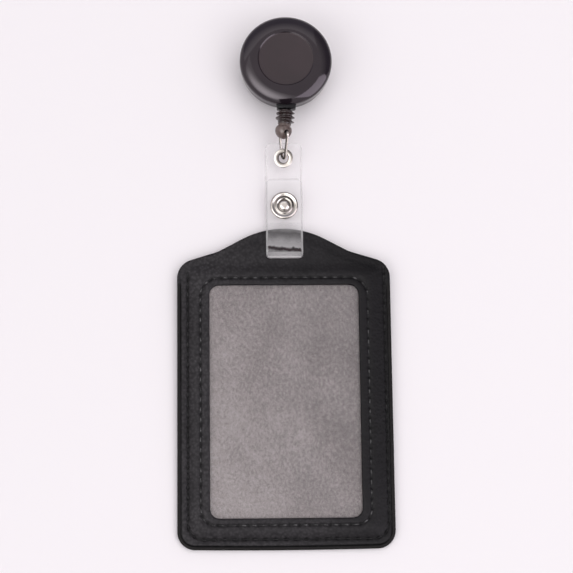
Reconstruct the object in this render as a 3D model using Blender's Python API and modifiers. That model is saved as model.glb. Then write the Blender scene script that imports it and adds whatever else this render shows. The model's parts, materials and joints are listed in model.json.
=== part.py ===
"""A vertical badge holder hung on a retractable cord reel by a clear snap strap.

Metres, +Z up. The object lies on its back: +Y runs from the holder to the reel, and
the origin is the middle of its footprint on the surface that it lies on.
"""

import math

import bmesh
import bpy
from mathutils import Matrix, Vector

MM = 0.001
DEG = math.pi / 180

# Fits shared by all pieces
PLY_GAP = 0.1 * MM            # between plies that are sewn or riveted together
SEAT_GAP = 0.2 * MM           # between rigid pieces that seat in each other
HINGE_GAP = 0.5 * MM          # where a strap is divided at a bend
OVERCUT = 1.0 * MM            # how far a cutter runs past the face that it opens
MERGE = 0.01 * MM

# Holder outline, seen from the front
HOLDER_WIDTH = 73.0 * MM
HOLDER_LENGTH = 110.0 * MM    # bottom edge to the crest of the top
BOTTOM_CORNER_RADIUS = 6.0 * MM
BOTTOM_BOW = 0.4 * MM         # the bottom edge is a shallow arc
BOTTOM_BOW_SHARES = (-0.72, -0.54, -0.36, -0.18, 0.0, 0.18, 0.36, 0.54, 0.72)
CREST_RADIUS = 30.0 * MM
CREST_SLOPE = 28.0 * DEG
CREST_HALF_WIDTH = 22.5 * MM
FOOT_RADIUS = 15.0 * MM
SHOULDER_SLOPE = 17.2 * DEG
SHOULDER_RADIUS = 6.5 * MM
STRAP_UNDER_CREST_GAP = 0.22 * MM

# Window, pocket and slot in the holder
FRAME_WIDTH = 11.0 * MM       # beside the window
WINDOW_FROM_BOTTOM = 10.5 * MM
WINDOW_FROM_CREST = 20.0 * MM
WINDOW_CORNER_RADIUS = 3.3 * MM
SLOT_WIDTH = 14.0 * MM
SLOT_LENGTH = 4.0 * MM
SLOT_FROM_CREST = 6.5 * MM
SLOT_CORNER_RADIUS = 1.2 * MM
OUTER_SEAM_INSET = 3.4 * MM
WINDOW_SEAM_INSET = 2.3 * MM
POCKET_SEAM_CLEARANCE = 0.6 * MM
POCKET_SLOT_CLEARANCE = 1.6 * MM
POCKET_RAMP = 2.0 * MM

# Plies of the holder
PANEL_THICKNESS = 0.8 * MM
STIFFENER_THICKNESS = 0.3 * MM
LINING_THICKNESS = 0.3 * MM
FILM_THICKNESS = 0.2 * MM
CARD_GAP = 0.15 * MM
FILM_LAP = 4.0 * MM           # how far the film runs behind the window frame
PANEL_EDGE_RADIUS = 0.2 * MM
THREAD_RADIUS = 0.2 * MM

# Clear strap
STRAP_WIDTH = 12.7 * MM
STRAP_THICKNESS = 0.8 * MM
STRAP_X = 0.4 * MM            # it lies a little to one side of the holder's middle
STRAP_EDGE_RADIUS = 0.22 * MM
STRAP_LIFT = 0.05 * MM        # under the fold
FOLD_RADIUS = 2.1 * MM        # middle of the strap's thickness
REAR_LEG_LENGTH = 26.7 * MM
REAR_LEG_SLOPE = 4.4 * DEG
TAB_LENGTH = 11.5 * MM
TAB_SLOPE = 16.0 * DEG
FLAP_LENGTH = 25.2 * MM
STRAP_CORNER_RADIUS = 2.2 * MM

# Snap fastener through the strap
SNAP_FROM_FOLD = 15.5 * MM
SNAP_CAP_RADIUS = 4.6 * MM
SNAP_CAP_HEIGHT = 1.0 * MM
SNAP_DISC_RADIUS = 4.1 * MM
SNAP_DISC_THICKNESS = 0.35 * MM
SNAP_SOCKET_HEIGHT = 1.0 * MM
SNAP_SOCKET_WEB = 0.35 * MM
SNAP_KNOB_RADIUS = 1.7 * MM
SNAP_KNOB_HEIGHT = 0.95 * MM
SNAP_KNOB_RADIAL_CLEARANCE = 0.35 * MM
SNAP_SHANK_RADIUS = 0.9 * MM
SNAP_SHANK_IN_KNOB = 0.35 * MM
# Radius and height of the cap's dome, ring and rim
SNAP_CAP_SHARES = (
    (0.0, 1.0), (0.16, 0.95), (0.29, 0.78), (0.37, 0.45), (0.42, 0.30), (0.47, 0.36),
    (0.53, 0.55), (0.58, 0.56), (0.63, 0.34), (0.70, 0.30), (0.79, 0.42), (0.87, 0.60),
    (0.94, 0.58), (0.99, 0.36), (1.0, 0.18), (0.97, 0.0),
)

# Eyelet in the strap's tab
EYELET_FROM_BEND = 6.2 * MM
EYELET_RADIUS = 3.5 * MM
EYELET_HOLE_RADIUS = 1.65 * MM
EYELET_WALL = 0.25 * MM
EYELET_FLANGE_HEIGHT = 0.28 * MM
EYELET_ROLL_RADIUS = 2.3 * MM
EYELET_ROLL_HEIGHT = 0.14 * MM
WASHER_RADIUS = 3.3 * MM
WASHER_THICKNESS = 0.15 * MM

# Wire link between the cord end and the eyelet
LINK_WIRE_RADIUS = 0.5 * MM
LINK_LENGTH = 9.6 * MM
LINK_BALL_HALF_WIDTH = 3.62 * MM
LINK_EYELET_HALF_WIDTH = 1.85 * MM
LINK_CORNER_RADIUS = 0.8 * MM
LINK_SLOPE = 26.0 * DEG
LINK_ROLL = 20.0 * DEG        # turned about its own length

# Ribbed boot on the cord's end
BALL_RADIUS = 2.9 * MM
BALL_HOLE_RADIUS = 0.85 * MM
BOOT_LENGTH = 7.2 * MM        # ball's middle to the boot's mouth
BOOT_CORE_RADIUS = 2.3 * MM
BOOT_RIB_RADIUS = 0.62 * MM
BOOT_RIB_RISE = 0.78 * MM
BOOT_RIB_PITCH = 1.64 * MM
BOOT_RIB_START = 2.9 * MM
BOOT_RIB_TURNS = 2.2
BOOT_RING_SPACING = 0.21 * MM
BOOT_BORE_RADIUS = 0.65 * MM
BOOT_BORE_DEPTH = 3.6 * MM

# Cord and its way out of the reel
CORD_RADIUS = 0.4 * MM
CORD_OUT_HEIGHT = 9.15 * MM
CORD_GROOVE_WIDTH = 3.5 * MM
CORD_CORE_GAP = 0.1 * MM
CORD_INNER_LAYERS = 1.0 * MM
CORD_OUTER_TURNS = 2
CORD_OUTER_PITCH = 1.24 * MM
CORD_END_GAP = 0.25 * MM      # between the last turn and the run to the guide
CORD_BEND_REACH = 1.6 * MM
GUIDE_WIDTH = 6.3 * MM
GUIDE_PROUD = 1.2 * MM
GUIDE_HEIGHT = 3.6 * MM
GUIDE_BORE_RADIUS = 0.8 * MM
GUIDE_MOUTH_RADIUS = 1.4 * MM
GUIDE_MOUTH_DEPTH = 0.8 * MM
GUIDE_EDGE_RADIUS = 0.5 * MM

# Reel casing
REEL_RADIUS = 16.0 * MM
REEL_X = 1.4 * MM
REEL_BACK_HEIGHT = 5.1 * MM   # underside of the casing above the table
REEL_THICKNESS = 8.4 * MM
REEL_WALL = 1.2 * MM
REEL_FLOOR = 1.2 * MM
REEL_FRONT_PLATE = 1.5 * MM
REEL_PARTING_HEIGHT = 3.4 * MM
REEL_STEP = 0.3 * MM          # the back cover is that much smaller
REEL_LIP = 0.7 * MM
REEL_LIP_HEIGHT = 1.6 * MM
REEL_DOME_WIDTH = 4.5 * MM    # the front's rounded edge, inwards and down
REEL_DOME_HEIGHT = 2.8 * MM
REEL_INNER_CHAMFER = 1.0 * MM
REEL_BACK_EDGE = 0.8 * MM
RECESS_RADIUS = 9.7 * MM
RECESS_DEPTH = 0.4 * MM
RECESS_SLOPE = 0.25 * MM

# Spool, its post and the spring in it
POST_RADIUS = 2.4 * MM
POST_TOP_CLEARANCE = 0.3 * MM
POST_SLOT_WIDTH = 0.7 * MM
POST_SLOT_DEPTH = 0.8 * MM
SPOOL_FLOOR_GAP = 0.3 * MM
SPOOL_FLANGE = 0.7 * MM
SPOOL_WALL_GAP = 0.5 * MM
SPOOL_CORE_RADIUS = 10.2 * MM
SPOOL_CORE_WALL = 0.8 * MM
SPRING_STRIP = 0.25 * MM
SPRING_HEIGHT = 3.2 * MM
SPRING_TURNS = 8
SPRING_END_GAP = 0.25 * MM

# Belt clip behind the reel
CLIP_WIDTH = 10.0 * MM
CLIP_THICKNESS = 0.8 * MM
CLIP_GAP = 3.4 * MM
CLIP_SOUTH_REACH = 9.0 * MM
CLIP_NORTH_REACH = 11.0 * MM
CLIP_ARM_LENGTH = 22.0 * MM
CLIP_EDGE_RADIUS = 0.15 * MM
RIVET_RADIUS = 1.1 * MM
RIVET_HEAD_RADIUS = 2.3 * MM
RIVET_HEAD_HEIGHT = 0.5 * MM
RIVET_LENGTH = 4.4 * MM

# Fineness of round pieces
REEL_STEPS = 60
SPOOL_STEPS = 48
SNAP_STEPS = 32
SMALL_STEPS = 24
BALL_SEGMENTS = 24
BALL_RINGS = 14
SPIRAL_STEPS = 16
CORD_STEPS = 24
ARC_STEP = 10.0 * DEG
CURVE_SHARES = (0.0, 0.33, 0.67, 1.0)
DOME_ANGLES = (0.0, 22.5, 45.0, 67.5, 90.0)
LINK_CORNER_STEPS = 4
LINK_END_STEPS = 6
MITRE_LEAST_SHARE = 0.5
EDGE_ANGLE = 50.0 * DEG       # a sharper edge than this is softened
PANEL_EDGE_ANGLE = 60.0 * DEG
SMOOTH_ANGLE = 35.0 * DEG

# Places that follow from the sizes
FOLD_OUTER = FOLD_RADIUS + STRAP_THICKNESS / 2
FOLD_FROM_BOTTOM = HOLDER_LENGTH - SLOT_FROM_CREST - SLOT_LENGTH + SEAT_GAP + FOLD_OUTER
FOLD_HEIGHT = STRAP_LIFT + FOLD_OUTER
FOLD_FROM_CREST = HOLDER_LENGTH - FOLD_FROM_BOTTOM
# The holder's top lies on the strap and its bottom edge on the table.
HOLDER_TILT = math.atan2(STRAP_LIFT + STRAP_THICKNESS + STRAP_UNDER_CREST_GAP
                         + FOLD_FROM_CREST * math.tan(REAR_LEG_SLOPE), HOLDER_LENGTH)
BEND_FROM_FOLD = (REAR_LEG_LENGTH * math.cos(REAR_LEG_SLOPE)
                  + FOLD_RADIUS * math.sin(REAR_LEG_SLOPE))
BEND_HEIGHT = (FOLD_HEIGHT - FOLD_RADIUS * math.cos(REAR_LEG_SLOPE)
               + REAR_LEG_LENGTH * math.sin(REAR_LEG_SLOPE))
EYELET_FROM_FOLD = BEND_FROM_FOLD + EYELET_FROM_BEND * math.cos(TAB_SLOPE)
EYELET_HEIGHT = BEND_HEIGHT + EYELET_FROM_BEND * math.sin(TAB_SLOPE)
BALL_FROM_EYELET = LINK_LENGTH * math.cos(LINK_SLOPE)
BALL_HEIGHT = EYELET_HEIGHT + LINK_LENGTH * math.sin(LINK_SLOPE)
BALL_FROM_BOTTOM = FOLD_FROM_BOTTOM + EYELET_FROM_FOLD + BALL_FROM_EYELET
MOUTH_FROM_BOTTOM = BALL_FROM_BOTTOM + BOOT_LENGTH + SEAT_GAP
REEL_FROM_BOTTOM = MOUTH_FROM_BOTTOM + GUIDE_PROUD + REEL_RADIUS
TOTAL_LENGTH = REEL_FROM_BOTTOM + REEL_RADIUS

BOTTOM_Y = -TOTAL_LENGTH / 2
FOLD_Y = BOTTOM_Y + FOLD_FROM_BOTTOM
BALL_Y = BOTTOM_Y + BALL_FROM_BOTTOM
MOUTH_Y = BOTTOM_Y + MOUTH_FROM_BOTTOM
REEL_Y = BOTTOM_Y + REEL_FROM_BOTTOM
REEL_TOP = REEL_BACK_HEIGHT + REEL_THICKNESS

# Colours, roughness and metallic value of each material
LOOKS = {
    "black_leather": ((0.035, 0.033, 0.034), 0.55, 0.0),
    "grey_suede": ((0.25, 0.23, 0.23), 0.95, 0.0),
    "clear_film": ((0.80, 0.80, 0.80), 0.15, 0.0),
    "clear_vinyl": ((0.85, 0.85, 0.86), 0.12, 0.0),
    "nickel": ((0.62, 0.60, 0.58), 0.22, 1.0),
    "smoky_plastic": ((0.030, 0.026, 0.028), 0.12, 0.0),
    "dark_plastic": ((0.040, 0.032, 0.034), 0.35, 0.0),
    "spring_steel": ((0.45, 0.45, 0.46), 0.30, 1.0),
    "black_cord": ((0.02, 0.02, 0.02), 0.70, 0.0),
    "black_thread": ((0.03, 0.03, 0.03), 0.80, 0.0),
    "grey_board": ((0.30, 0.29, 0.28), 0.90, 0.0),
}

for old in list(bpy.data.objects):
    bpy.data.objects.remove(old, do_unlink=True)

parts = bpy.data.collections.new("badge_holder_with_reel")
cutters = bpy.data.collections.new("cutters")
bpy.context.scene.collection.children.link(parts)
bpy.context.scene.collection.children.link(cutters)
materials = {}
frames = {}                   # world matrix of each joint frame, by its empty's name


# Materials, frames and placing

def material(look):
    if look not in materials:
        colour, roughness, metallic = LOOKS[look]
        made = bpy.data.materials.new(look)
        made.use_nodes = True
        shader = made.node_tree.nodes["Principled BSDF"]
        shader.inputs["Base Color"].default_value = (*colour, 1.0)
        shader.inputs["Roughness"].default_value = roughness
        shader.inputs["Metallic"].default_value = metallic
        materials[look] = made
    return materials[look]


def attach(item, parent):
    """Parents an object that keeps the place it has in the world."""
    item.parent = bpy.data.objects[parent]
    item.matrix_parent_inverse = frames[parent].inverted()


def joint_frame(name, point, turn=None, parent=None):
    """An empty on a joint's axis. Its turn is a matrix, or none for the world's axes."""
    empty = bpy.data.objects.new(name, None)
    empty.empty_display_size = STRAP_WIDTH
    parts.objects.link(empty)
    frames[name] = Matrix.Translation(point) @ (turn or Matrix.Identity(4))
    empty.matrix_basis = frames[name]
    if parent:
        attach(empty, parent)
    return frames[name]


def finish(item, look, carrier, place=None, smooth=True):
    """Gives a made object its material, its place in the world and its carrier."""
    item.data.materials.clear()
    item.data.materials.append(material(look))
    if smooth and item.type == "MESH":
        item.data.shade_smooth()
        item.data.set_sharp_from_angle(angle=SMOOTH_ANGLE)
    if place is not None:
        item.matrix_basis = place
    attach(item, carrier)
    return item


def along(direction, across):
    """A rotation whose Z runs along a direction and whose X lies nearest to another."""
    z = Vector(direction).normalized()
    x = Vector(across)
    x = (x - z * x.dot(z)).normalized()
    return Matrix((x, z.cross(x), z)).transposed().to_4x4()


# Ways of making a solid

def mesh_object(name, bm, collection=parts):
    mesh = bpy.data.meshes.new(name)
    bm.to_mesh(mesh)
    bm.free()
    item = bpy.data.objects.new(name, mesh)
    collection.objects.link(item)
    return item


def turned(name, profile, steps, ring=False, collection=parts):
    """A profile of (radius, height), down the outer side, turned about Z."""
    bm = bmesh.new()
    points = [bm.verts.new((radius, 0.0, height)) for radius, height in profile]
    pairs = list(zip(points, points[1:]))
    if ring:
        pairs.append((points[-1], points[0]))
    for pair in pairs:
        bm.edges.new(pair)
    item = mesh_object(name, bm, collection)
    screw = item.modifiers.new("turn", "SCREW")
    screw.steps = steps
    screw.render_steps = steps
    screw.use_merge_vertices = True
    screw.merge_threshold = MERGE
    screw.use_smooth_shade = True
    return item


def solid_curve(name, lines, closed, collection=parts, **settings):
    """A curve with a thickness, turned into a welded mesh."""
    curve = bpy.data.curves.new(name, "CURVE")
    for key, value in settings.items():
        setattr(curve, key, value)
    for line in lines:
        spline = curve.splines.new("POLY")
        spline.points.add(len(line) - 1)
        for point, place in zip(spline.points, line):
            point.co = (*place, *(0.0,) * (3 - len(place)), 1.0)
        spline.use_cyclic_u = closed
    drawn = bpy.data.objects.new(name + "_curve", curve)
    bpy.context.scene.collection.objects.link(drawn)
    graph = bpy.context.evaluated_depsgraph_get()
    mesh = bpy.data.meshes.new_from_object(drawn.evaluated_get(graph))
    bpy.data.objects.remove(drawn, do_unlink=True)
    bm = bmesh.new()
    bm.from_mesh(mesh)
    bmesh.ops.remove_doubles(bm, verts=bm.verts, dist=MERGE)
    bmesh.ops.recalc_face_normals(bm, faces=bm.faces)
    bpy.data.meshes.remove(mesh)
    return mesh_object(name, bm, collection)


def plate(name, outlines, thickness, collection=parts):
    """A flat sheet about Z = 0. Outlines inside the first one are holes."""
    return solid_curve(name, outlines, True, collection, dimensions="2D", fill_mode="BOTH",
                       extrude=thickness / 2)


def tube(name, line, radius, closed=False, sides=1, collection=parts):
    return solid_curve(name, [line], closed, collection, dimensions="3D",
                       bevel_depth=radius, bevel_resolution=sides, use_fill_caps=not closed)


def soften(item, width, segments=1, limit=EDGE_ANGLE):
    bevel = item.modifiers.new("edges", "BEVEL")
    bevel.width = width
    bevel.segments = segments
    bevel.limit_method = "ANGLE"
    bevel.angle_limit = limit
    bevel.use_clamp_overlap = True


def combine(item, tool, operation, solver="EXACT"):
    """Cuts with another object, or joins it on."""
    modifier = item.modifiers.new(tool.name, "BOOLEAN")
    modifier.operation = operation
    modifier.solver = solver
    modifier.object = tool
    tool.hide_render = True
    tool.display_type = "WIRE"
    if tool.name in parts.objects:
        parts.objects.unlink(tool)
        cutters.objects.link(tool)


def pin_cutter(name, radius, length, place, steps=SMALL_STEPS):
    """A round cutter about the Z axis of its place."""
    bm = bmesh.new()
    bmesh.ops.create_cone(bm, cap_ends=True, segments=steps, radius1=radius,
                          radius2=radius, depth=length)
    tool = mesh_object(name, bm, cutters)
    tool.matrix_basis = place
    return tool


def box(name, size, place, collection=parts):
    bm = bmesh.new()
    bmesh.ops.create_cube(bm, size=1.0, matrix=Matrix.Diagonal((*size, 1.0)))
    item = mesh_object(name, bm, collection)
    item.matrix_basis = place
    return item


# Outlines

def rounded(corners):
    """A polygon whose corners (x, y, radius), counterclockwise, are turned into arcs."""
    line = []
    for index, (x, y, radius) in enumerate(corners):
        corner = Vector((x, y))
        back = (Vector(corners[index - 1][:2]) - corner).normalized()
        ahead = (Vector(corners[(index + 1) % len(corners)][:2]) - corner).normalized()
        if radius == 0:
            line.append(tuple(corner))
            continue
        half = back.angle(ahead) / 2
        start = corner + back * (radius / math.tan(half))
        centre = corner + (back + ahead).normalized() * (radius / math.sin(half))
        sweep = math.pi - 2 * half
        if back.x * ahead.y - back.y * ahead.x > 0:
            sweep = -sweep
        steps = max(2, math.ceil(abs(sweep) / ARC_STEP))
        spoke = start - centre
        for step in range(steps + 1):
            line.append(tuple(centre + Matrix.Rotation(sweep * step / steps, 2) @ spoke))
    return line


def rectangle(left, right, bottom, top, radius):
    return rounded([(left, bottom, radius), (right, bottom, radius),
                    (right, top, radius), (left, top, radius)])


def inset(line, distance):
    """A closed counterclockwise outline moved inwards by a distance."""
    moved = []
    for index, place in enumerate(line):
        here = Vector(place)
        back = (here - Vector(line[index - 1])).normalized()
        ahead = (Vector(line[(index + 1) % len(line)]) - here).normalized()
        normal = Vector((-back.y - ahead.y, back.x + ahead.x)).normalized()
        spread = max(normal.dot(Vector((-back.y, back.x))), MITRE_LEAST_SHARE)
        moved.append(tuple(here + normal * (distance / spread)))
    return moved


def holder_outline():
    """Bowed bottom, straight sides, sloping shoulders and a round crest."""
    half = HOLDER_WIDTH / 2
    bow = [(half * share, BOTTOM_BOW * share * share, 0.0) for share in BOTTOM_BOW_SHARES]
    apex = HOLDER_LENGTH + CREST_RADIUS * (1 / math.cos(CREST_SLOPE) - 1)
    foot = apex - CREST_HALF_WIDTH * math.tan(CREST_SLOPE)
    shoulder = foot - (half - CREST_HALF_WIDTH) * math.tan(SHOULDER_SLOPE)
    right = [(half, BOTTOM_BOW, BOTTOM_CORNER_RADIUS), (half, shoulder, SHOULDER_RADIUS),
             (CREST_HALF_WIDTH, foot, FOOT_RADIUS)]
    left = [(-x, y, radius) for x, y, radius in reversed(right)]
    return rounded(bow + right + [(0.0, apex, CREST_RADIUS)] + left)


def window_outline(margin):
    half = HOLDER_WIDTH / 2 - FRAME_WIDTH + margin
    return rectangle(-half, half, WINDOW_FROM_BOTTOM - margin,
                     HOLDER_LENGTH - WINDOW_FROM_CREST + margin, WINDOW_CORNER_RADIUS + margin)


def slot_outline():
    top = HOLDER_LENGTH - SLOT_FROM_CREST
    return rectangle(-SLOT_WIDTH / 2 + STRAP_X, SLOT_WIDTH / 2 + STRAP_X,
                     top - SLOT_LENGTH, top, SLOT_CORNER_RADIUS)


def pocket_outline(step_in):
    """The line where the front panel rises over the pocket, moved in by a distance."""
    edge = OUTER_SEAM_INSET + POCKET_SEAM_CLEARANCE + step_in
    half = HOLDER_WIDTH / 2 - edge
    top = HOLDER_LENGTH - SLOT_FROM_CREST - SLOT_LENGTH - POCKET_SLOT_CLEARANCE - step_in
    return rectangle(-half, half, edge, top, BOTTOM_CORNER_RADIUS - OUTER_SEAM_INSET / 2)


# Holder

def ply_heights():
    """Underside of each ply above the holder's back face."""
    heights = {"back_panel": 0.0}
    under = PANEL_THICKNESS + PLY_GAP
    heights["front_panel"] = under
    heights["back_stiffener"] = under
    under += STIFFENER_THICKNESS + PLY_GAP
    heights["pocket_lining"] = under
    under += LINING_THICKNESS + CARD_GAP
    heights["window_film"] = under
    under += FILM_THICKNESS + PLY_GAP
    heights["front_raised"] = under
    return heights


def make_front_panel(heights):
    """A sheet that lies on the back panel at its edge and rises over the pocket."""
    rise = heights["front_raised"] - heights["front_panel"]
    bm = bmesh.new()

    def loop(line, height):
        points = [bm.verts.new((x, y, height)) for x, y in line]
        return [bm.edges.new((points[i - 1], points[i])) for i in range(len(points))], points

    edge, _ = loop(holder_outline(), 0.0)
    slot, _ = loop(slot_outline(), 0.0)
    window, _ = loop(window_outline(0.0), rise)
    ramp = []
    for share in CURVE_SHARES:
        height = rise * share * share * (3 - 2 * share)
        ramp.append(loop(pocket_outline(POCKET_RAMP * share), height))
    for (_, outer), (_, inner) in zip(ramp, ramp[1:]):
        for i in range(len(outer)):
            bm.faces.new((outer[i - 1], outer[i], inner[i], inner[i - 1]))
    bmesh.ops.triangle_fill(bm, use_beauty=True, edges=edge + slot + ramp[0][0])
    bmesh.ops.triangle_fill(bm, use_beauty=True, edges=ramp[-1][0] + window)
    bmesh.ops.recalc_face_normals(bm, faces=bm.faces)
    if sum(face.normal.z for face in bm.faces) < 0:
        bmesh.ops.reverse_faces(bm, faces=bm.faces)
    item = mesh_object("front_panel", bm)
    wall = item.modifiers.new("thickness", "SOLIDIFY")
    wall.thickness = PANEL_THICKNESS
    wall.offset = 1.0
    wall.use_even_offset = True
    return item


def seam_line(heights, kind):
    """Middle of the sewing thread, on top of the front panel."""
    top = heights["front_panel"] + PANEL_THICKNESS + THREAD_RADIUS + PLY_GAP
    if kind == "window":
        top += heights["front_raised"] - heights["front_panel"]
        return [(x, y, top) for x, y in window_outline(WINDOW_SEAM_INSET)]
    line = inset(holder_outline(), OUTER_SEAM_INSET)
    line = [(x, y) for x, y in line if y < HOLDER_LENGTH - CREST_HALF_WIDTH / 2 - SLOT_LENGTH]
    start = min(range(len(line)), key=lambda i: (line[i][0] > 0, -line[i][1]))
    return [(x, y, top) for x, y in line[start:] + line[:start]]


def make_holder():
    place = frames["holder_frame"]
    heights = ply_heights()

    def lay(item, look, height, thickness):
        finish(item, look, "holder_frame",
               place @ Matrix.Translation((0.0, 0.0, height + thickness / 2)))

    back = plate("back_panel", [holder_outline(), slot_outline()], PANEL_THICKNESS)
    soften(back, PANEL_EDGE_RADIUS)
    lay(back, "black_leather", heights["back_panel"], PANEL_THICKNESS)

    inside = pocket_outline(POCKET_RAMP + PLY_GAP)
    lay(plate("back_stiffener", [inside], STIFFENER_THICKNESS), "grey_board",
        heights["back_stiffener"], STIFFENER_THICKNESS)
    lay(plate("pocket_lining", [inside], LINING_THICKNESS), "grey_suede",
        heights["pocket_lining"], LINING_THICKNESS)
    lay(plate("window_film", [window_outline(FILM_LAP)], FILM_THICKNESS), "clear_film",
        heights["window_film"], FILM_THICKNESS)

    front = make_front_panel(heights)
    soften(front, PANEL_EDGE_RADIUS, limit=PANEL_EDGE_ANGLE)
    finish(front, "black_leather", "holder_frame",
           place @ Matrix.Translation((0.0, 0.0, heights["front_panel"])))

    window_thread = tube("window_seam_thread", seam_line(heights, "window"), THREAD_RADIUS,
                         closed=True)
    finish(window_thread, "black_thread", "holder_frame", place)
    outer_thread = tube("outer_seam_thread", seam_line(heights, "outer"), THREAD_RADIUS)
    finish(outer_thread, "black_thread", "holder_frame", place)


# Clear strap

def strap_sheet(name, start, length, hole_from_start, hole_radius, round_far_end):
    """A flat length of strap along Y, with a hole, about Z = 0."""
    half = STRAP_WIDTH / 2
    near = STRAP_EDGE_RADIUS
    far = STRAP_CORNER_RADIUS if round_far_end else near
    outline = rounded([(-half, start, near), (half, start, near),
                       (half, length, far), (-half, length, far)])
    item = plate(name, [outline], STRAP_THICKNESS)
    hole = pin_cutter(name + "_hole", hole_radius, STRAP_THICKNESS + 2 * OVERCUT,
                      Matrix.Identity(4), SNAP_STEPS)
    return item, hole, Matrix.Translation((0.0, hole_from_start, 0.0))


def make_strap():
    snap_hole = SNAP_SHANK_RADIUS + SEAT_GAP

    # The rear leg is drawn from the side: straight, then folded up round the slot's edge.
    turn_start = -math.pi / 2 + REAR_LEG_SLOPE
    turn_steps = math.ceil((math.pi + REAR_LEG_SLOPE) / ARC_STEP)
    far_y = BEND_FROM_FOLD - HINGE_GAP / 2
    far_z = BEND_HEIGHT - FOLD_HEIGHT - math.tan(REAR_LEG_SLOPE) * HINGE_GAP / 2
    sides = []
    for offset in (-STRAP_THICKNESS / 2, STRAP_THICKNESS / 2):
        radius = FOLD_RADIUS - offset
        side = [(far_y - offset * math.sin(REAR_LEG_SLOPE),
                 far_z + offset * math.cos(REAR_LEG_SLOPE))]
        for step in range(turn_steps + 1):
            angle = turn_start - (math.pi + REAR_LEG_SLOPE) * step / turn_steps
            side.append((radius * math.cos(angle), radius * math.sin(angle)))
        sides.append(side)
    outline = sides[0] + sides[1][::-1]
    leg = plate("strap_rear_leg", [outline], STRAP_WIDTH)
    sideways = Matrix(((0, 0, 1, 0), (1, 0, 0, 0), (0, 1, 0, 0), (0, 0, 0, 1)))
    leg_place = Matrix.Translation((STRAP_X, FOLD_Y, FOLD_HEIGHT)) @ sideways
    leg_hole = pin_cutter("strap_rear_leg_hole", snap_hole, STRAP_THICKNESS + 2 * OVERCUT,
                          frames["snap_frame"], SNAP_STEPS)
    combine(leg, leg_hole, "DIFFERENCE")
    soften(leg, STRAP_EDGE_RADIUS)
    finish(leg, "clear_vinyl", "strap_bend_axis", leg_place)

    tab, hole, shift = strap_sheet("strap_tab", HINGE_GAP / 2, TAB_LENGTH, EYELET_FROM_BEND,
                                   EYELET_HOLE_RADIUS + EYELET_WALL + SEAT_GAP, True)
    hole.matrix_basis = frames["tab_frame"] @ shift
    combine(tab, hole, "DIFFERENCE")
    soften(tab, STRAP_EDGE_RADIUS)
    finish(tab, "clear_vinyl", "strap_swing_axis", frames["tab_frame"])

    flap_place = Matrix.Translation((STRAP_X, FOLD_Y, FOLD_HEIGHT + FOLD_RADIUS))
    flap, hole, shift = strap_sheet("strap_flap", HINGE_GAP, FLAP_LENGTH, SNAP_FROM_FOLD,
                                    snap_hole, True)
    hole.matrix_basis = flap_place @ shift
    combine(flap, hole, "DIFFERENCE")
    soften(flap, STRAP_EDGE_RADIUS)
    finish(flap, "clear_vinyl", "flap_open_axis", flap_place)


# Snap fastener

def make_snap():
    skin = STRAP_THICKNESS / 2 + PLY_GAP      # from the middle of a leg to its fittings
    shank = SNAP_SHANK_RADIUS
    disc = SNAP_DISC_THICKNESS
    leg_place = frames["snap_frame"]
    flap_place = Matrix.Translation((STRAP_X, FOLD_Y + SNAP_FROM_FOLD,
                                     FOLD_HEIGHT + FOLD_RADIUS))

    shank_top = skin + disc + SNAP_SHANK_IN_KNOB
    post = turned("snap_post", [
        (0.0, shank_top), (shank, shank_top), (shank, -skin),
        (SNAP_DISC_RADIUS - disc / 2, -skin), (SNAP_DISC_RADIUS, -skin - disc / 2),
        (SNAP_DISC_RADIUS - disc / 2, -skin - disc), (0.0, -skin - disc)], SNAP_STEPS)
    finish(post, "nickel", "strap_bend_axis", leg_place)

    bore = shank + SEAT_GAP
    knob_foot = skin + disc
    knob_top = knob_foot + SNAP_KNOB_HEIGHT
    stud = turned("snap_stud", [
        (0.0, knob_top), (SNAP_KNOB_RADIUS - disc, knob_top),
        (SNAP_KNOB_RADIUS, knob_top - disc), (SNAP_KNOB_RADIUS - disc / 2, knob_foot),
        (SNAP_DISC_RADIUS - disc / 2, knob_foot), (SNAP_DISC_RADIUS, knob_foot - disc / 2),
        (SNAP_DISC_RADIUS - disc / 2, skin), (bore, skin),
        (bore, shank_top + SEAT_GAP), (0.0, shank_top + SEAT_GAP)], SNAP_STEPS)
    finish(stud, "nickel", "strap_bend_axis", leg_place)

    socket_low = -skin - SNAP_SOCKET_HEIGHT
    web = -skin - SNAP_SOCKET_WEB
    cavity = SNAP_KNOB_RADIUS + SNAP_KNOB_RADIAL_CLEARANCE
    socket = turned("snap_socket", [
        (bore, -skin), (SNAP_DISC_RADIUS - disc / 2, -skin),
        (SNAP_DISC_RADIUS, -skin - disc / 2), (SNAP_DISC_RADIUS, socket_low + disc / 2),
        (SNAP_DISC_RADIUS - disc / 2, socket_low), (cavity, socket_low), (cavity, web),
        (bore, web)], SNAP_STEPS, ring=True)
    finish(socket, "nickel", "flap_open_axis", flap_place)

    cap_line = [(SNAP_CAP_RADIUS * r, skin + SNAP_CAP_HEIGHT * h) for r, h in SNAP_CAP_SHARES]
    cap = turned("snap_cap", cap_line + [(shank, skin), (shank, web), (0.0, web)], SNAP_STEPS)
    finish(cap, "nickel", "flap_open_axis", flap_place)


# Eyelet and wire link

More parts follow.
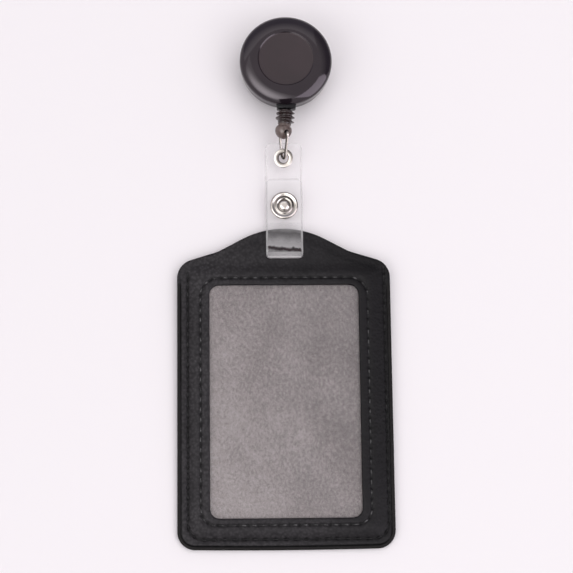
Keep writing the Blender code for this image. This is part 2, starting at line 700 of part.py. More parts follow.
def make_eyelet():
    place = frames["tab_frame"] @ Matrix.Translation((0.0, EYELET_FROM_BEND, 0.0))
    skin = STRAP_THICKNESS / 2 + PLY_GAP
    hole = EYELET_HOLE_RADIUS
    barrel = hole + EYELET_WALL
    flange = skin + EYELET_FLANGE_HEIGHT
    roll_top = -skin - WASHER_THICKNESS - PLY_GAP
    roll_low = roll_top - EYELET_ROLL_HEIGHT
    eyelet = turned("strap_eyelet", [
        (hole, skin), (hole + EYELET_WALL, flange - EYELET_WALL / 2),
        (barrel + EYELET_WALL, flange),
        (EYELET_RADIUS - EYELET_WALL, flange - EYELET_WALL / 2), (EYELET_RADIUS, skin + PLY_GAP),
        (EYELET_RADIUS - EYELET_WALL / 2, skin), (barrel, skin), (barrel, roll_top),
        (EYELET_ROLL_RADIUS, roll_top), (EYELET_ROLL_RADIUS, roll_top - EYELET_ROLL_HEIGHT / 2),
        (barrel + EYELET_WALL, roll_low), (hole + EYELET_WALL, roll_low),
        (hole, roll_top)], SNAP_STEPS, ring=True)
    finish(eyelet, "nickel", "strap_swing_axis", place)

    inner = barrel + SEAT_GAP
    washer = turned("eyelet_washer", [
        (inner, -skin), (WASHER_RADIUS, -skin), (WASHER_RADIUS, -skin - WASHER_THICKNESS),
        (inner, -skin - WASHER_THICKNESS)], SNAP_STEPS, ring=True)
    finish(washer, "nickel", "strap_swing_axis", place)


def link_line():
    """Half of a pear drawn about X, straight through the ball, round through the eyelet."""
    wide = LINK_BALL_HALF_WIDTH
    end = LINK_EYELET_HALF_WIDTH
    corner = LINK_CORNER_RADIUS
    far = LINK_LENGTH - end
    tilt = math.atan2(wide - end, far - corner)
    upper = []
    for step in range(LINK_CORNER_STEPS + 1):
        angle = math.pi - (math.pi / 2 + tilt) * step / LINK_CORNER_STEPS
        upper.append((corner + corner * math.cos(angle),
                      wide - corner + corner * math.sin(angle)))
    for step in range(LINK_END_STEPS + 1):
        angle = (math.pi / 2 - tilt) * (1 - step / LINK_END_STEPS)
        upper.append((far + end * math.cos(angle), end * math.sin(angle)))
    return upper + [(x, -y) for x, y in reversed(upper[:-1])]


def make_link():
    line = [(x, 0.0, y) for x, y in link_line()]
    link = tube("wire_link", line, LINK_WIRE_RADIUS, closed=True, sides=2)
    finish(link, "nickel", "link_swing_axis", frames["link_frame"])


# Cord end boot

def rib_rise(share, height):
    """How far the wound rib stands out at a share of a turn and a height."""
    rise = 0.0
    for turn in range(math.ceil(BOOT_RIB_TURNS)):
        wound = turn + share
        apart = abs(height - BOOT_RIB_START - BOOT_RIB_PITCH * wound)
        if wound <= BOOT_RIB_TURNS and apart < BOOT_RIB_RADIUS:
            rise = BOOT_RIB_RISE * math.cos(math.pi / 2 * apart / BOOT_RIB_RADIUS)
    return rise


def ribbed_core():
    bm = bmesh.new()
    rows = []
    top = BOOT_LENGTH - GUIDE_EDGE_RADIUS / 2
    levels = math.ceil(top / BOOT_RING_SPACING)
    for level in range(levels + 1):
        height = top * level / levels
        rows.append([(BOOT_CORE_RADIUS + rib_rise(step / SMALL_STEPS, height), height)
                     for step in range(SMALL_STEPS)])
    rows.append([(BOOT_CORE_RADIUS - GUIDE_EDGE_RADIUS / 2, BOOT_LENGTH)] * SMALL_STEPS)
    for index, row in enumerate(rows):
        for step, (radius, height) in enumerate(row):
            angle = math.tau * step / SMALL_STEPS
            row[step] = bm.verts.new((radius * math.cos(angle), radius * math.sin(angle), height))
        if index:
            below = rows[index - 1]
            for step in range(SMALL_STEPS):
                bm.faces.new((below[step - 1], below[step], row[step], row[step - 1]))
    bm.faces.new(reversed(rows[0]))
    bm.faces.new(rows[-1])
    return mesh_object("cord_end_boot", bm)


def make_boot():
    place = frames["boot_frame"]
    boot = ribbed_core()

    bm = bmesh.new()
    bmesh.ops.create_uvsphere(bm, u_segments=BALL_SEGMENTS, v_segments=BALL_RINGS,
                              radius=BALL_RADIUS)
    ball = mesh_object("boot_ball", bm)
    ball.matrix_basis = place

    depth = BOOT_BORE_DEPTH + OVERCUT
    bore = pin_cutter("boot_bore", BOOT_BORE_RADIUS, depth,
                      place @ Matrix.Translation((0.0, 0.0, BOOT_LENGTH + OVERCUT - depth / 2)))
    eye = pin_cutter("boot_eye", BALL_HOLE_RADIUS, 2 * (BALL_RADIUS + SEAT_GAP),
                     frames["link_frame"], SMALL_STEPS)
    combine(boot, ball, "UNION")
    combine(boot, bore, "DIFFERENCE")
    combine(boot, eye, "DIFFERENCE")
    finish(boot, "dark_plastic", "cord_twist_axis", place)


# Reel casing, with heights above the table

def reel_place(height=0.0):
    return Matrix.Translation((REEL_X, REEL_Y, height))


def guide_inner():
    """How far the guide's inner end is from the reel's axis."""
    return REEL_RADIUS - REEL_WALL - REEL_LIP - REEL_STEP


def guide_notch(name, clearance):
    """The opening in both covers that holds the cord guide."""
    inner = guide_inner() - OVERCUT
    outer = REEL_RADIUS + OVERCUT
    size = (GUIDE_WIDTH + 2 * clearance, outer - inner, GUIDE_HEIGHT + 2 * clearance)
    place = reel_place(CORD_OUT_HEIGHT) @ Matrix.Translation((0.0, -(outer + inner) / 2, 0.0))
    return box(name, size, place, cutters)


def make_covers():
    inside_top = REEL_TOP - REEL_FRONT_PLATE
    parting = REEL_BACK_HEIGHT + REEL_PARTING_HEIGHT
    bore = REEL_RADIUS - REEL_WALL

    dome = []
    for angle in DOME_ANGLES:
        dome.append((REEL_RADIUS - REEL_DOME_WIDTH * (1 - math.sin(angle * DEG)),
                     REEL_TOP - REEL_DOME_HEIGHT * (1 - math.cos(angle * DEG))))
    front = turned("reel_front_cover", [
        (0.0, REEL_TOP - RECESS_DEPTH), (RECESS_RADIUS - RECESS_SLOPE, REEL_TOP - RECESS_DEPTH),
        (RECESS_RADIUS, REEL_TOP), *dome, (REEL_RADIUS, parting + PLY_GAP),
        (bore, parting + PLY_GAP), (bore, inside_top - REEL_INNER_CHAMFER),
        (bore - REEL_INNER_CHAMFER, inside_top), (0.0, inside_top)], REEL_STEPS)
    combine(front, guide_notch("front_notch", PLY_GAP), "DIFFERENCE")
    finish(front, "smoky_plastic", "reel_frame", reel_place())

    floor = REEL_BACK_HEIGHT + REEL_FLOOR
    outer = REEL_RADIUS - REEL_STEP
    lip = bore - SEAT_GAP
    lip_inner = lip - REEL_LIP
    post_top = inside_top - POST_TOP_CLEARANCE
    back = turned("reel_back_cover", [
        (0.0, post_top), (POST_RADIUS, post_top), (POST_RADIUS, floor), (lip_inner, floor),
        (lip_inner, parting + REEL_LIP_HEIGHT), (lip, parting + REEL_LIP_HEIGHT), (lip, parting),
        (outer, parting), (outer, REEL_BACK_HEIGHT + REEL_BACK_EDGE),
        (outer - REEL_BACK_EDGE, REEL_BACK_HEIGHT), (0.0, REEL_BACK_HEIGHT)], REEL_STEPS)
    combine(back, guide_notch("back_notch", PLY_GAP), "DIFFERENCE")

    rivet_top = REEL_BACK_HEIGHT - PLY_GAP - CLIP_THICKNESS + RIVET_LENGTH
    depth = rivet_top + SEAT_GAP - REEL_BACK_HEIGHT + OVERCUT
    rivet_bore = pin_cutter("back_rivet_bore", RIVET_RADIUS + SEAT_GAP, depth,
                            reel_place(rivet_top + SEAT_GAP - depth / 2))
    combine(back, rivet_bore, "DIFFERENCE")

    spring_low = spool_floor() + SPOOL_FLANGE + SEAT_GAP
    slot_low = spring_low - SEAT_GAP
    slot_high = post_top + OVERCUT
    slot_size = (POST_SLOT_DEPTH + OVERCUT, POST_SLOT_WIDTH, slot_high - slot_low)
    slot_x = POST_RADIUS - POST_SLOT_DEPTH + slot_size[0] / 2
    slot = box("post_slot", slot_size,
               reel_place((slot_low + slot_high) / 2) @ Matrix.Translation((slot_x, 0.0, 0.0)),
               cutters)
    combine(back, slot, "DIFFERENCE")
    finish(back, "smoky_plastic", "reel_frame", reel_place())


def make_guide():
    """A block in the casing's wall, with a flared bore for the cord."""
    inner = guide_inner()
    outer = REEL_RADIUS + GUIDE_PROUD
    guide = box("cord_guide", (GUIDE_WIDTH, outer - inner, GUIDE_HEIGHT),
                reel_place(CORD_OUT_HEIGHT) @ Matrix.Translation((0.0, -(outer + inner) / 2, 0.0)))
    soften(guide, GUIDE_EDGE_RADIUS)
    run = outer - inner + 2 * OVERCUT
    southward = Matrix.Rotation(math.pi / 2, 4, "X")
    bore = pin_cutter("guide_bore", GUIDE_BORE_RADIUS, run,
                      guide.matrix_basis @ southward)
    combine(guide, bore, "DIFFERENCE")
    for name, y, near, far in (
            ("guide_mouth_out", -outer, GUIDE_MOUTH_RADIUS, GUIDE_BORE_RADIUS),
            ("guide_mouth_in", -inner, GUIDE_BORE_RADIUS, GUIDE_MOUTH_RADIUS)):
        bm = bmesh.new()
        bmesh.ops.create_cone(bm, cap_ends=True, segments=SMALL_STEPS, radius1=far,
                              radius2=near, depth=2 * GUIDE_MOUTH_DEPTH)
        mouth = mesh_object(name, bm, cutters)
        mouth.matrix_basis = (reel_place(CORD_OUT_HEIGHT) @ Matrix.Translation((0.0, y, 0.0))
                              @ southward)
        combine(guide, mouth, "DIFFERENCE")
    finish(guide, "smoky_plastic", "reel_frame", guide.matrix_basis.copy())


# Spool, spring and the cord on the spool

def spool_floor():
    return CORD_OUT_HEIGHT - CORD_GROOVE_WIDTH / 2 - SPOOL_FLANGE


def flange_radius():
    return REEL_RADIUS - REEL_WALL - SEAT_GAP - REEL_LIP - SPOOL_WALL_GAP


def make_spool():
    low = spool_floor()
    groove_low = low + SPOOL_FLANGE
    groove_high = groove_low + CORD_GROOVE_WIDTH
    top = groove_high + SPOOL_FLANGE
    bore = POST_RADIUS + SEAT_GAP
    cup = SPOOL_CORE_RADIUS - SPOOL_CORE_WALL
    spool = turned("spool", [
        (cup, top), (flange_radius(), top), (flange_radius(), groove_high),
        (SPOOL_CORE_RADIUS, groove_high), (SPOOL_CORE_RADIUS, groove_low),
        (flange_radius(), groove_low), (flange_radius(), low), (bore, low),
        (bore, groove_low), (cup, groove_low)], SPOOL_STEPS, ring=True)
    finish(spool, "dark_plastic", "spool_spin_axis", reel_place())


def winding_radius():
    """Middle of the outer layer of cord on the spool."""
    return SPOOL_CORE_RADIUS + 2 * CORD_CORE_GAP + CORD_INNER_LAYERS + CORD_RADIUS


def make_spring():
    """A flat strip wound between the post and the spool's cup, hooked into the post."""
    first = POST_RADIUS + SPRING_END_GAP + SPRING_STRIP / 2
    last = SPOOL_CORE_RADIUS - SPOOL_CORE_WALL - SPRING_END_GAP - SPRING_STRIP / 2
    steps = SPIRAL_STEPS * SPRING_TURNS
    hook = POST_RADIUS - POST_SLOT_DEPTH + SPRING_END_GAP
    line = [(hook, 0.0), (first, 0.0)]
    for step in range(1, steps + 1):
        radius = first + (last - first) * step / steps
        angle = math.tau * step / SPIRAL_STEPS
        line.append((radius * math.cos(angle), radius * math.sin(angle)))
    low = spool_floor() + SPOOL_FLANGE + SEAT_GAP
    bm = bmesh.new()
    rows = [[bm.verts.new((x, y, low + rise)) for x, y in line] for rise in (0.0, SPRING_HEIGHT)]
    for i in range(len(line) - 1):
        bm.faces.new((rows[0][i], rows[0][i + 1], rows[1][i + 1], rows[1][i]))
    spring = mesh_object("power_spring", bm)
    strip = spring.modifiers.new("thickness", "SOLIDIFY")
    strip.thickness = SPRING_STRIP
    strip.offset = 0.0
    strip.use_even_offset = True
    finish(spring, "spring_steel", "spool_spin_axis", reel_place())
    pitch = (last - first) / SPRING_TURNS
    print("least gap between the spring's turns:", round((pitch - SPRING_STRIP) / MM, 3), "mm")


def make_wound_cord():
    low = spool_floor() + SPOOL_FLANGE + CORD_CORE_GAP
    high = low + CORD_GROOVE_WIDTH - 2 * CORD_CORE_GAP
    inner = SPOOL_CORE_RADIUS + CORD_CORE_GAP
    layers = turned("cord_inner_turns", [
        (inner, high), (inner + CORD_INNER_LAYERS, high), (inner + CORD_INNER_LAYERS, low),
        (inner, low)], SPOOL_STEPS, ring=True)
    finish(layers, "black_cord", "spool_spin_axis", reel_place())

    radius = winding_radius()
    last_angle = tangent_angle() - CORD_END_GAP / radius
    steps = CORD_OUTER_TURNS * CORD_STEPS
    points = []
    for step in range(steps + 1):
        turns = (step - steps) / CORD_STEPS
        angle = last_angle + math.tau * turns
        height = cord_top_turn() + CORD_OUTER_PITCH * turns
        points.append(Vector((radius * math.cos(angle), radius * math.sin(angle), height)))
    wound = tube("cord_outer_turns", points, CORD_RADIUS)
    finish(wound, "black_cord", "spool_spin_axis", reel_place())
    turn_apart = [(point - next_turn).length
                  for point, next_turn in zip(points, points[CORD_STEPS:])]
    print("least gap between the cord's turns:",
          round((min(turn_apart) - 2 * CORD_RADIUS) / MM, 3), "mm")


def tangent_angle():
    """Where the cord leaves the spool, on a line to the guide."""
    return -math.pi / 2 - math.acos(winding_radius() / (guide_inner() - SEAT_GAP))


def cord_top_turn():
    return CORD_OUT_HEIGHT + CORD_OUTER_PITCH * CORD_OUTER_TURNS / 2


def eased(corners, reach):
    """A route through its corners, each rounded over a reach or half of its neighbours."""
    line = [corners[0]]
    for before, corner, after in zip(corners, corners[1:], corners[2:]):
        span = min(reach, (before - corner).length / 2, (after - corner).length / 2)
        back = (before - corner).normalized() * span
        ahead = (after - corner).normalized() * span
        for share in CURVE_SHARES:
            line.append(corner + back * (1 - share) ** 2 + ahead * share ** 2)
    return line + [corners[-1]]


def make_cord_run():
    """From the spool, clear of its last turn, through the guide and into the boot."""
    radius = winding_radius()
    angle = tangent_angle()
    leave = Vector((REEL_X + radius * math.cos(angle), REEL_Y + radius * math.sin(angle),
                    cord_top_turn()))
    turn = Vector((REEL_X, REEL_Y - guide_inner() + SEAT_GAP, CORD_OUT_HEIGHT))
    middle = (leave + turn) / 2
    middle.z = cord_top_turn()
    mouth = Vector((REEL_X, MOUTH_Y + GUIDE_PROUD / 2, CORD_OUT_HEIGHT))
    inside = frames["boot_frame"] @ Vector((0.0, 0.0, BOOT_LENGTH - BOOT_BORE_DEPTH + SEAT_GAP))
    line = eased([leave, middle, turn, mouth, inside], CORD_BEND_REACH)
    run = tube("cord_run", line, CORD_RADIUS, sides=2)
    finish(run, "black_cord", "cord_pull_axis")


# Belt clip

def make_clip():
    half = CLIP_WIDTH / 2
    plate_low = REEL_BACK_HEIGHT - PLY_GAP - CLIP_THICKNESS
    bend_radius = (CLIP_GAP + CLIP_THICKNESS) / 2
    clip_plate = plate("clip_plate", [rectangle(-half, half, -CLIP_SOUTH_REACH, CLIP_NORTH_REACH,
                                                CLIP_EDGE_RADIUS)], CLIP_THICKNESS)
    hole = pin_cutter("clip_plate_hole", RIVET_RADIUS + SEAT_GAP, CLIP_THICKNESS + 2 * OVERCUT,
                      reel_place(plate_low))
    combine(clip_plate, hole, "DIFFERENCE")
    soften(clip_plate, CLIP_EDGE_RADIUS)
    finish(clip_plate, "spring_steel", "reel_frame", reel_place(plate_low + CLIP_THICKNESS / 2))

    head_low = plate_low - PLY_GAP - RIVET_HEAD_HEIGHT
    rivet_top = plate_low + RIVET_LENGTH
    rivet = turned("clip_rivet", [
        (0.0, rivet_top), (RIVET_RADIUS, rivet_top), (RIVET_RADIUS, plate_low - PLY_GAP),
        (RIVET_HEAD_RADIUS, plate_low - PLY_GAP),
        (RIVET_HEAD_RADIUS - RIVET_HEAD_HEIGHT / 2, head_low), (0.0, head_low)], SMALL_STEPS)
    finish(rivet, "nickel", "reel_frame", reel_place())

    # The arm is drawn from the side: bent down from the plate's end and back below it.
    start = CLIP_NORTH_REACH + SEAT_GAP
    centre_z = plate_low + CLIP_THICKNESS / 2 - bend_radius
    turn_steps = math.ceil(math.pi / ARC_STEP)
    sides = []
    for offset in (-CLIP_THICKNESS / 2, CLIP_THICKNESS / 2):
        radius = bend_radius + offset
        side = []
        for step in range(turn_steps + 1):
            angle = math.pi / 2 - math.pi * step / turn_steps
            side.append((start + radius * math.cos(angle), centre_z + radius * math.sin(angle)))
        side.append((start - CLIP_ARM_LENGTH, centre_z - radius))
        sides.append(side)
    arm = plate("clip_arm", [sides[0] + sides[1][::-1]], CLIP_WIDTH)
    sideways = Matrix(((0, 0, 1, 0), (1, 0, 0, 0), (0, 1, 0, 0), (0, 0, 0, 1)))
    soften(arm, CLIP_EDGE_RADIUS)
    finish(arm, "spring_steel", "clip_flex_axis", reel_place() @ sideways)


# Joint frames, each on its own axis

def make_frames():
    joint_frame("reel_frame", (REEL_X, REEL_Y, REEL_BACK_HEIGHT))
    joint_frame("spool_spin_axis", (REEL_X, REEL_Y, CORD_OUT_HEIGHT), None, "reel_frame")
    clip_height = REEL_BACK_HEIGHT - PLY_GAP - CLIP_THICKNESS / 2
    joint_frame("clip_flex_axis", (REEL_X, REEL_Y + CLIP_NORTH_REACH + SEAT_GAP, clip_height),
                None, "reel_frame")
    joint_frame("cord_pull_axis", (REEL_X, MOUTH_Y, CORD_OUT_HEIGHT), None, "reel_frame")
    joint_frame("cord_twist_axis", (REEL_X, MOUTH_Y, CORD_OUT_HEIGHT), None, "cord_pull_axis")

    ball = Vector((STRAP_X, BALL_Y, BALL_HEIGHT))
    boot_mouth = Vector((REEL_X, MOUTH_Y - SEAT_GAP, CORD_OUT_HEIGHT))
    joint_frame("boot_frame", ball, along(boot_mouth - ball, (1, 0, 0)), "cord_twist_axis")

    # The link's own X runs down to the eyelet and its Z through the ball.
    down = Vector((0, -math.cos(LINK_SLOPE), -math.sin(LINK_SLOPE)))
    upright = Matrix.Rotation(-LINK_ROLL, 3, down) @ Vector(
        (0, -math.sin(LINK_SLOPE), math.cos(LINK_SLOPE)))
    link_turn = along(upright, down)
    joint_frame("link_frame", ball, link_turn, "cord_twist_axis")
    joint_frame("link_swing_axis", ball, link_turn, "link_frame")

    tab_turn = Matrix.Rotation(TAB_SLOPE, 4, "X")
    bend = Vector((STRAP_X, FOLD_Y + BEND_FROM_FOLD, BEND_HEIGHT))
    eyelet = bend + tab_turn.to_3x3() @ Vector((0, EYELET_FROM_BEND, 0))
    joint_frame("strap_swing_axis", eyelet, tab_turn, "link_swing_axis")
    joint_frame("tab_frame", bend, tab_turn, "strap_swing_axis")
    joint_frame("strap_bend_axis", bend, None, "strap_swing_axis")

    leg_turn = Matrix.Rotation(REAR_LEG_SLOPE, 4, "X")
    snap_back = (BEND_FROM_FOLD - SNAP_FROM_FOLD) / math.cos(REAR_LEG_SLOPE)
    snap = bend - leg_turn.to_3x3() @ Vector((0, snap_back, 0))
    joint_frame("snap_frame", snap, leg_turn, "strap_bend_axis")
    flap_top = FOLD_HEIGHT + FOLD_OUTER
    joint_frame("flap_open_axis", (STRAP_X, FOLD_Y + HINGE_GAP / 2, flap_top), None,
                "strap_bend_axis")
    joint_frame("holder_swing_axis", (0, FOLD_Y, FOLD_HEIGHT), None, "strap_bend_axis")
    joint_frame("holder_frame", (0, BOTTOM_Y, 0), Matrix.Rotation(HOLDER_TILT, 4, "X"),
                "holder_swing_axis")


make_frames()
make_holder()
make_strap()
make_snap()
make_eyelet()
make_link()
make_boot()
make_covers()
make_guide()
make_spool()
make_spring()
make_wound_cord()
make_cord_run()
make_clip()
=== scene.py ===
import json
import math

import bmesh
import bpy
import numpy as np
from mathutils import Matrix, Vector
from mathutils.geometry import delaunay_2d_cdt


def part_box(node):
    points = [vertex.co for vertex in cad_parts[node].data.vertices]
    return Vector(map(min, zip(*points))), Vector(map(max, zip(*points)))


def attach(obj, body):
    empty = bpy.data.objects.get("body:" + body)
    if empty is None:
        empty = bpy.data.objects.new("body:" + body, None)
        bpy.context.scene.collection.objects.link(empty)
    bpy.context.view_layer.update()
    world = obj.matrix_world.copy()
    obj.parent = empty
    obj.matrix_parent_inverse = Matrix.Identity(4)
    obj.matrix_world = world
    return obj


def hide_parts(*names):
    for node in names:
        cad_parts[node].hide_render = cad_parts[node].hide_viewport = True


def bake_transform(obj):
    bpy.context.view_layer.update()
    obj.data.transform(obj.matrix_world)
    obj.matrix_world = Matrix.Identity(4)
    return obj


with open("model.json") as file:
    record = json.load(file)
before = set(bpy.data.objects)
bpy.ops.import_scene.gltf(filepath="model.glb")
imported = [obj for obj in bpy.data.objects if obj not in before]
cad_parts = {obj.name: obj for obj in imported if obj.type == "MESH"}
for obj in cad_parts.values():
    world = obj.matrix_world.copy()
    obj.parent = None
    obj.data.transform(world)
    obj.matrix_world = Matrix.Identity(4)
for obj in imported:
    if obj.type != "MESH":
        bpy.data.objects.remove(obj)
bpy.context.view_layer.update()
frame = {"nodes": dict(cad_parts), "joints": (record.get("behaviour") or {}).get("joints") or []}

mm = 0.001
deg = math.pi / 180
jointAt = {j["name"]: Vector(j["pos_m"]) for j in frame["joints"] if "pos_m" in j}
finishes = {}
print("frame loaded:", len(frame["nodes"]), "solids")


# Node maths: an expression on Values adds its Math nodes

class Value:
    def __init__(self, nodes, socket):
        self.nodes, self.socket = nodes, socket

    def maths(self, operation, *others):
        return self.nodes.node("ShaderNodeMath", {"operation": operation},
                               dict(enumerate((self, *others))))[0]

    def reflected(self, operation, other):
        return self.nodes.node("ShaderNodeMath", {"operation": operation}, {0: other, 1: self})[0]

    def __add__(self, other): return self.maths("ADD", other)
    def __radd__(self, other): return self.maths("ADD", other)
    def __sub__(self, other): return self.maths("SUBTRACT", other)
    def __rsub__(self, other): return self.reflected("SUBTRACT", other)
    def __mul__(self, other): return self.maths("MULTIPLY", other)
    def __rmul__(self, other): return self.maths("MULTIPLY", other)
    def __truediv__(self, other): return self.maths("DIVIDE", other)
    def __rtruediv__(self, other): return self.reflected("DIVIDE", other)
    def __pow__(self, other): return self.maths("POWER", other)


class Nodes:
    # A node tree, and the one method that adds its nodes.

    def __init__(self, tree):
        self.tree = tree

    def node(self, kind, settings=None, values=None):
        # Sets the node, feeds its sockets, and returns its outputs as Values.
        node = self.tree.nodes.new(kind)
        for key, value in (settings or {}).items():
            if key == "stops":
                self.setStops(node.color_ramp, value)
            else:
                setattr(node, key, value)
        for key, value in (values or {}).items():
            self.feed(node.inputs[key], value)
        return [Value(self, socket) for socket in node.outputs]

    def setStops(self, ramp, stops):
        while len(ramp.elements) < len(stops):
            ramp.elements.new(0.5)
        for element, (place, colour) in zip(ramp.elements, stops):
            element.position = place
            element.color = (*colour, 1.0) if isinstance(colour, tuple) else (colour,) * 3 + (1.0,)

    def feed(self, socket, value):
        if isinstance(value, Value):
            value = value.socket
        if isinstance(value, bpy.types.NodeSocket):
            self.tree.links.new(value, socket)
        elif isinstance(value, tuple) and len(value) == 3 and len(socket.default_value) == 4:
            socket.default_value = (*value, 1.0)
        else:
            socket.default_value = value


class Finish(Nodes):
    # A material: its Principled shader, and the nodes that feed it.

    def __init__(self, name, **fixed):
        self.material = bpy.data.materials.new(name)
        self.material.use_nodes = True
        super().__init__(self.material.node_tree)
        self.shader = self.tree.nodes["Principled BSDF"]
        for key, value in fixed.items():
            self.feed(self.shader.inputs[key.replace("_", " ")], value)
        finishes[name] = self

    def place(self, scale=(1.0, 1.0, 1.0), turn=(0.0, 0.0, 0.0)):
        # Object coordinates, stretched and turned.
        here = self.node("ShaderNodeTexCoord")[3]
        return self.node("ShaderNodeMapping", None,
                         {"Vector": here, "Scale": scale, "Rotation": turn})[0]

    def noise(self, scale, detail=3.0, rough=0.5, at=None):
        return self.node("ShaderNodeTexNoise", None,
                         {"Vector": at or self.place(), "Scale": scale, "Detail": detail,
                          "Roughness": rough})[0]

    def axes(self):
        # The object coordinates as numbers.
        return self.node("ShaderNodeSeparateXYZ", None, {"Vector": self.place()})

    def cells(self, scale, feature):
        return self.node("ShaderNodeTexVoronoi", {"feature": feature},
                         {"Vector": self.place(), "Scale": scale})[0]

    def weave(self, scale, distortion):
        # Slanting bands, as of twisted or braided yarn.
        bands = self.node("ShaderNodeTexWave", {"wave_type": "BANDS", "bands_direction": "DIAGONAL"},
                          {"Vector": self.place(), "Scale": scale, "Distortion": distortion})[0]
        return self.ramp(bands, [(0.2, 0.0), (0.8, 1.0)])

    def ramp(self, factor, stops):
        return self.node("ShaderNodeValToRGB", {"stops": stops}, {"Fac": factor})[0]

    def tones(self, factor, first, second):
        # Two colours that a noise shares out.
        return self.ramp(factor, [(0.3, first), (0.7, second)])

    def blendColour(self, factor, first, second):
        made = self.node("ShaderNodeMix", {"data_type": "RGBA"}, {"Factor": factor})
        node = made[0].socket.node
        self.feed(node.inputs[6], first)
        self.feed(node.inputs[7], second)
        return made[2]

    def attribute(self, name):
        return self.node("ShaderNodeAttribute", {"attribute_name": name})[2]

    def use(self, socket, value):
        self.feed(self.shader.inputs[socket], value)

    def bump(self, height, distance, strength=1.0, under=None):
        values = {"Height": height, "Distance": distance, "Strength": strength}
        if under is not None:
            values["Normal"] = under
        made = self.node("ShaderNodeBump", None, values)[0]
        self.use("Normal", made)
        return made


class Growth(Nodes):
    # A tree of geometry nodes with named numbers, a seed and a material to set.

    def __init__(self, name, numbers):
        super().__init__(bpy.data.node_groups.new(name, "GeometryNodeTree"))
        face = self.tree.interface
        face.new_socket("Geometry", in_out="INPUT", socket_type="NodeSocketGeometry")
        for number in numbers:
            face.new_socket(number, in_out="INPUT", socket_type="NodeSocketFloat")
        face.new_socket("Seed", in_out="INPUT", socket_type="NodeSocketInt")
        face.new_socket("Material", in_out="INPUT", socket_type="NodeSocketMaterial")
        face.new_socket("Geometry", in_out="OUTPUT", socket_type="NodeSocketGeometry")
        group = self.tree.nodes.new("NodeGroupInput")
        self.given = {socket.name: Value(self, socket) for socket in group.outputs if socket.name}

    def end(self, geometry):
        solid = self.node("GeometryNodeRealizeInstances", None, {"Geometry": geometry})[0]
        smooth = self.node("GeometryNodeSetShadeSmooth", None, {"Geometry": solid})[0]
        looked = self.node("GeometryNodeSetMaterial", None,
                           {"Geometry": smooth, "Material": self.given["Material"]})[0]
        output = self.tree.nodes.new("NodeGroupOutput")
        self.feed(output.inputs["Geometry"], looked)
        return self.tree


# Camera at the photograph's angle, a pale table and soft studio light

studio = {
    "cameraPlace": (-0.0203, -0.1448, 0.6452),
    "cameraTurn": (12.51, -1.733, -0.718),      # degrees
    "lens": 120.7,
    "tableSize": 6.0,           # metres
    "tableBelow": 0.05,         # mm
    "tableColour": (0.905, 0.868, 0.896),
    "roomColour": (0.93, 0.90, 0.92),
    "roomFill": 0.63,
    "lamps": (      # name, place, size in metres, power
        ("overhead", (0.35, 0.25, 1.5), (1.6, 1.6), 8.4),
        ("leftSoftbox", (-1.1, -0.75, 1.1), (1.4, 1.1), 5.85),
        ("rightSoftbox", (1.0, -0.65, 1.1), (1.1, 0.9), 4.3),
    ),
    "cards": (      # name, degrees round and up, size in metres, strength, where shaded from, shade
        ("leftGlow", 218, 59, (1.55, 1.05), 6.2,
         "middle", [(0.0, 1.0), (0.45, 0.75), (0.8, 0.35), (1.0, 0.22)]),
        ("rightGlow", 336, 35, (0.85, 1.15), 3.7,
         "middle", [(0.0, (1.0, 0.96, 1.04)), (1.0, (0.9, 0.86, 0.94))]),
        ("northShade", 90, 28, (2.6, 1.3), 1.8,
         "foot", [(0.0, (0.20, 0.20, 0.24)), (0.6, (0.26, 0.26, 0.30)), (1.0, 0.9)]),
        ("eastShade", 32, 28, (1.1, 1.3), 1.0,
         "foot", [(0.0, (0.20, 0.20, 0.24)), (0.6, (0.26, 0.26, 0.30)), (1.0, 0.9)]),
        ("southShade", 271, 30, (0.36, 1.1), 1.0, "foot", [(0.0, 0.03), (1.0, 0.03)]),
    ),
}


def makeCamera():
    data = bpy.data.cameras.new("camera")
    data.lens = studio["lens"]
    data.sensor_width = 36.0
    data.clip_start, data.clip_end = 0.01, 20.0
    camera = bpy.data.objects.new("camera", data)
    camera.location = studio["cameraPlace"]
    camera.rotation_euler = [angle * deg for angle in studio["cameraTurn"]]
    bpy.context.scene.collection.objects.link(camera)
    bpy.context.scene.camera = camera


def stagedSheet(name, width, length, finish):
    # A flat rectangle that is part of the studio.
    bm = bmesh.new()
    bmesh.ops.create_grid(bm, x_segments=1, y_segments=1, size=0.5)
    bmesh.ops.scale(bm, vec=(width, length, 1.0), verts=bm.verts)
    mesh = bpy.data.meshes.new(name)
    bm.to_mesh(mesh)
    bm.free()
    mesh.materials.append(finish.material)
    sheet = bpy.data.objects.new(name, mesh)
    bpy.context.scene.collection.objects.link(sheet)
    return sheet


def makeTable():
    size = studio["tableSize"]
    finish = Finish("paleTable", Roughness=0.85, Base_Color=studio["tableColour"],
                    Specular_IOR_Level=0.1)
    stagedSheet("table", size, size, finish).location.z = -studio["tableBelow"] * mm


def makeLamp(name, place, size, power):
    # The cards below stand for the lamps in mirrors, so the lamps themselves don't show there.
    data = bpy.data.lights.new(name, "AREA")
    data.shape = "RECTANGLE"
    data.size, data.size_y = size
    data.energy = power
    lamp = bpy.data.objects.new(name, data)
    lamp.location = place
    lamp.rotation_euler = (-lamp.location).to_track_quat("-Z", "Y").to_euler()
    lamp.visible_glossy = False
    bpy.context.scene.collection.objects.link(lamp)


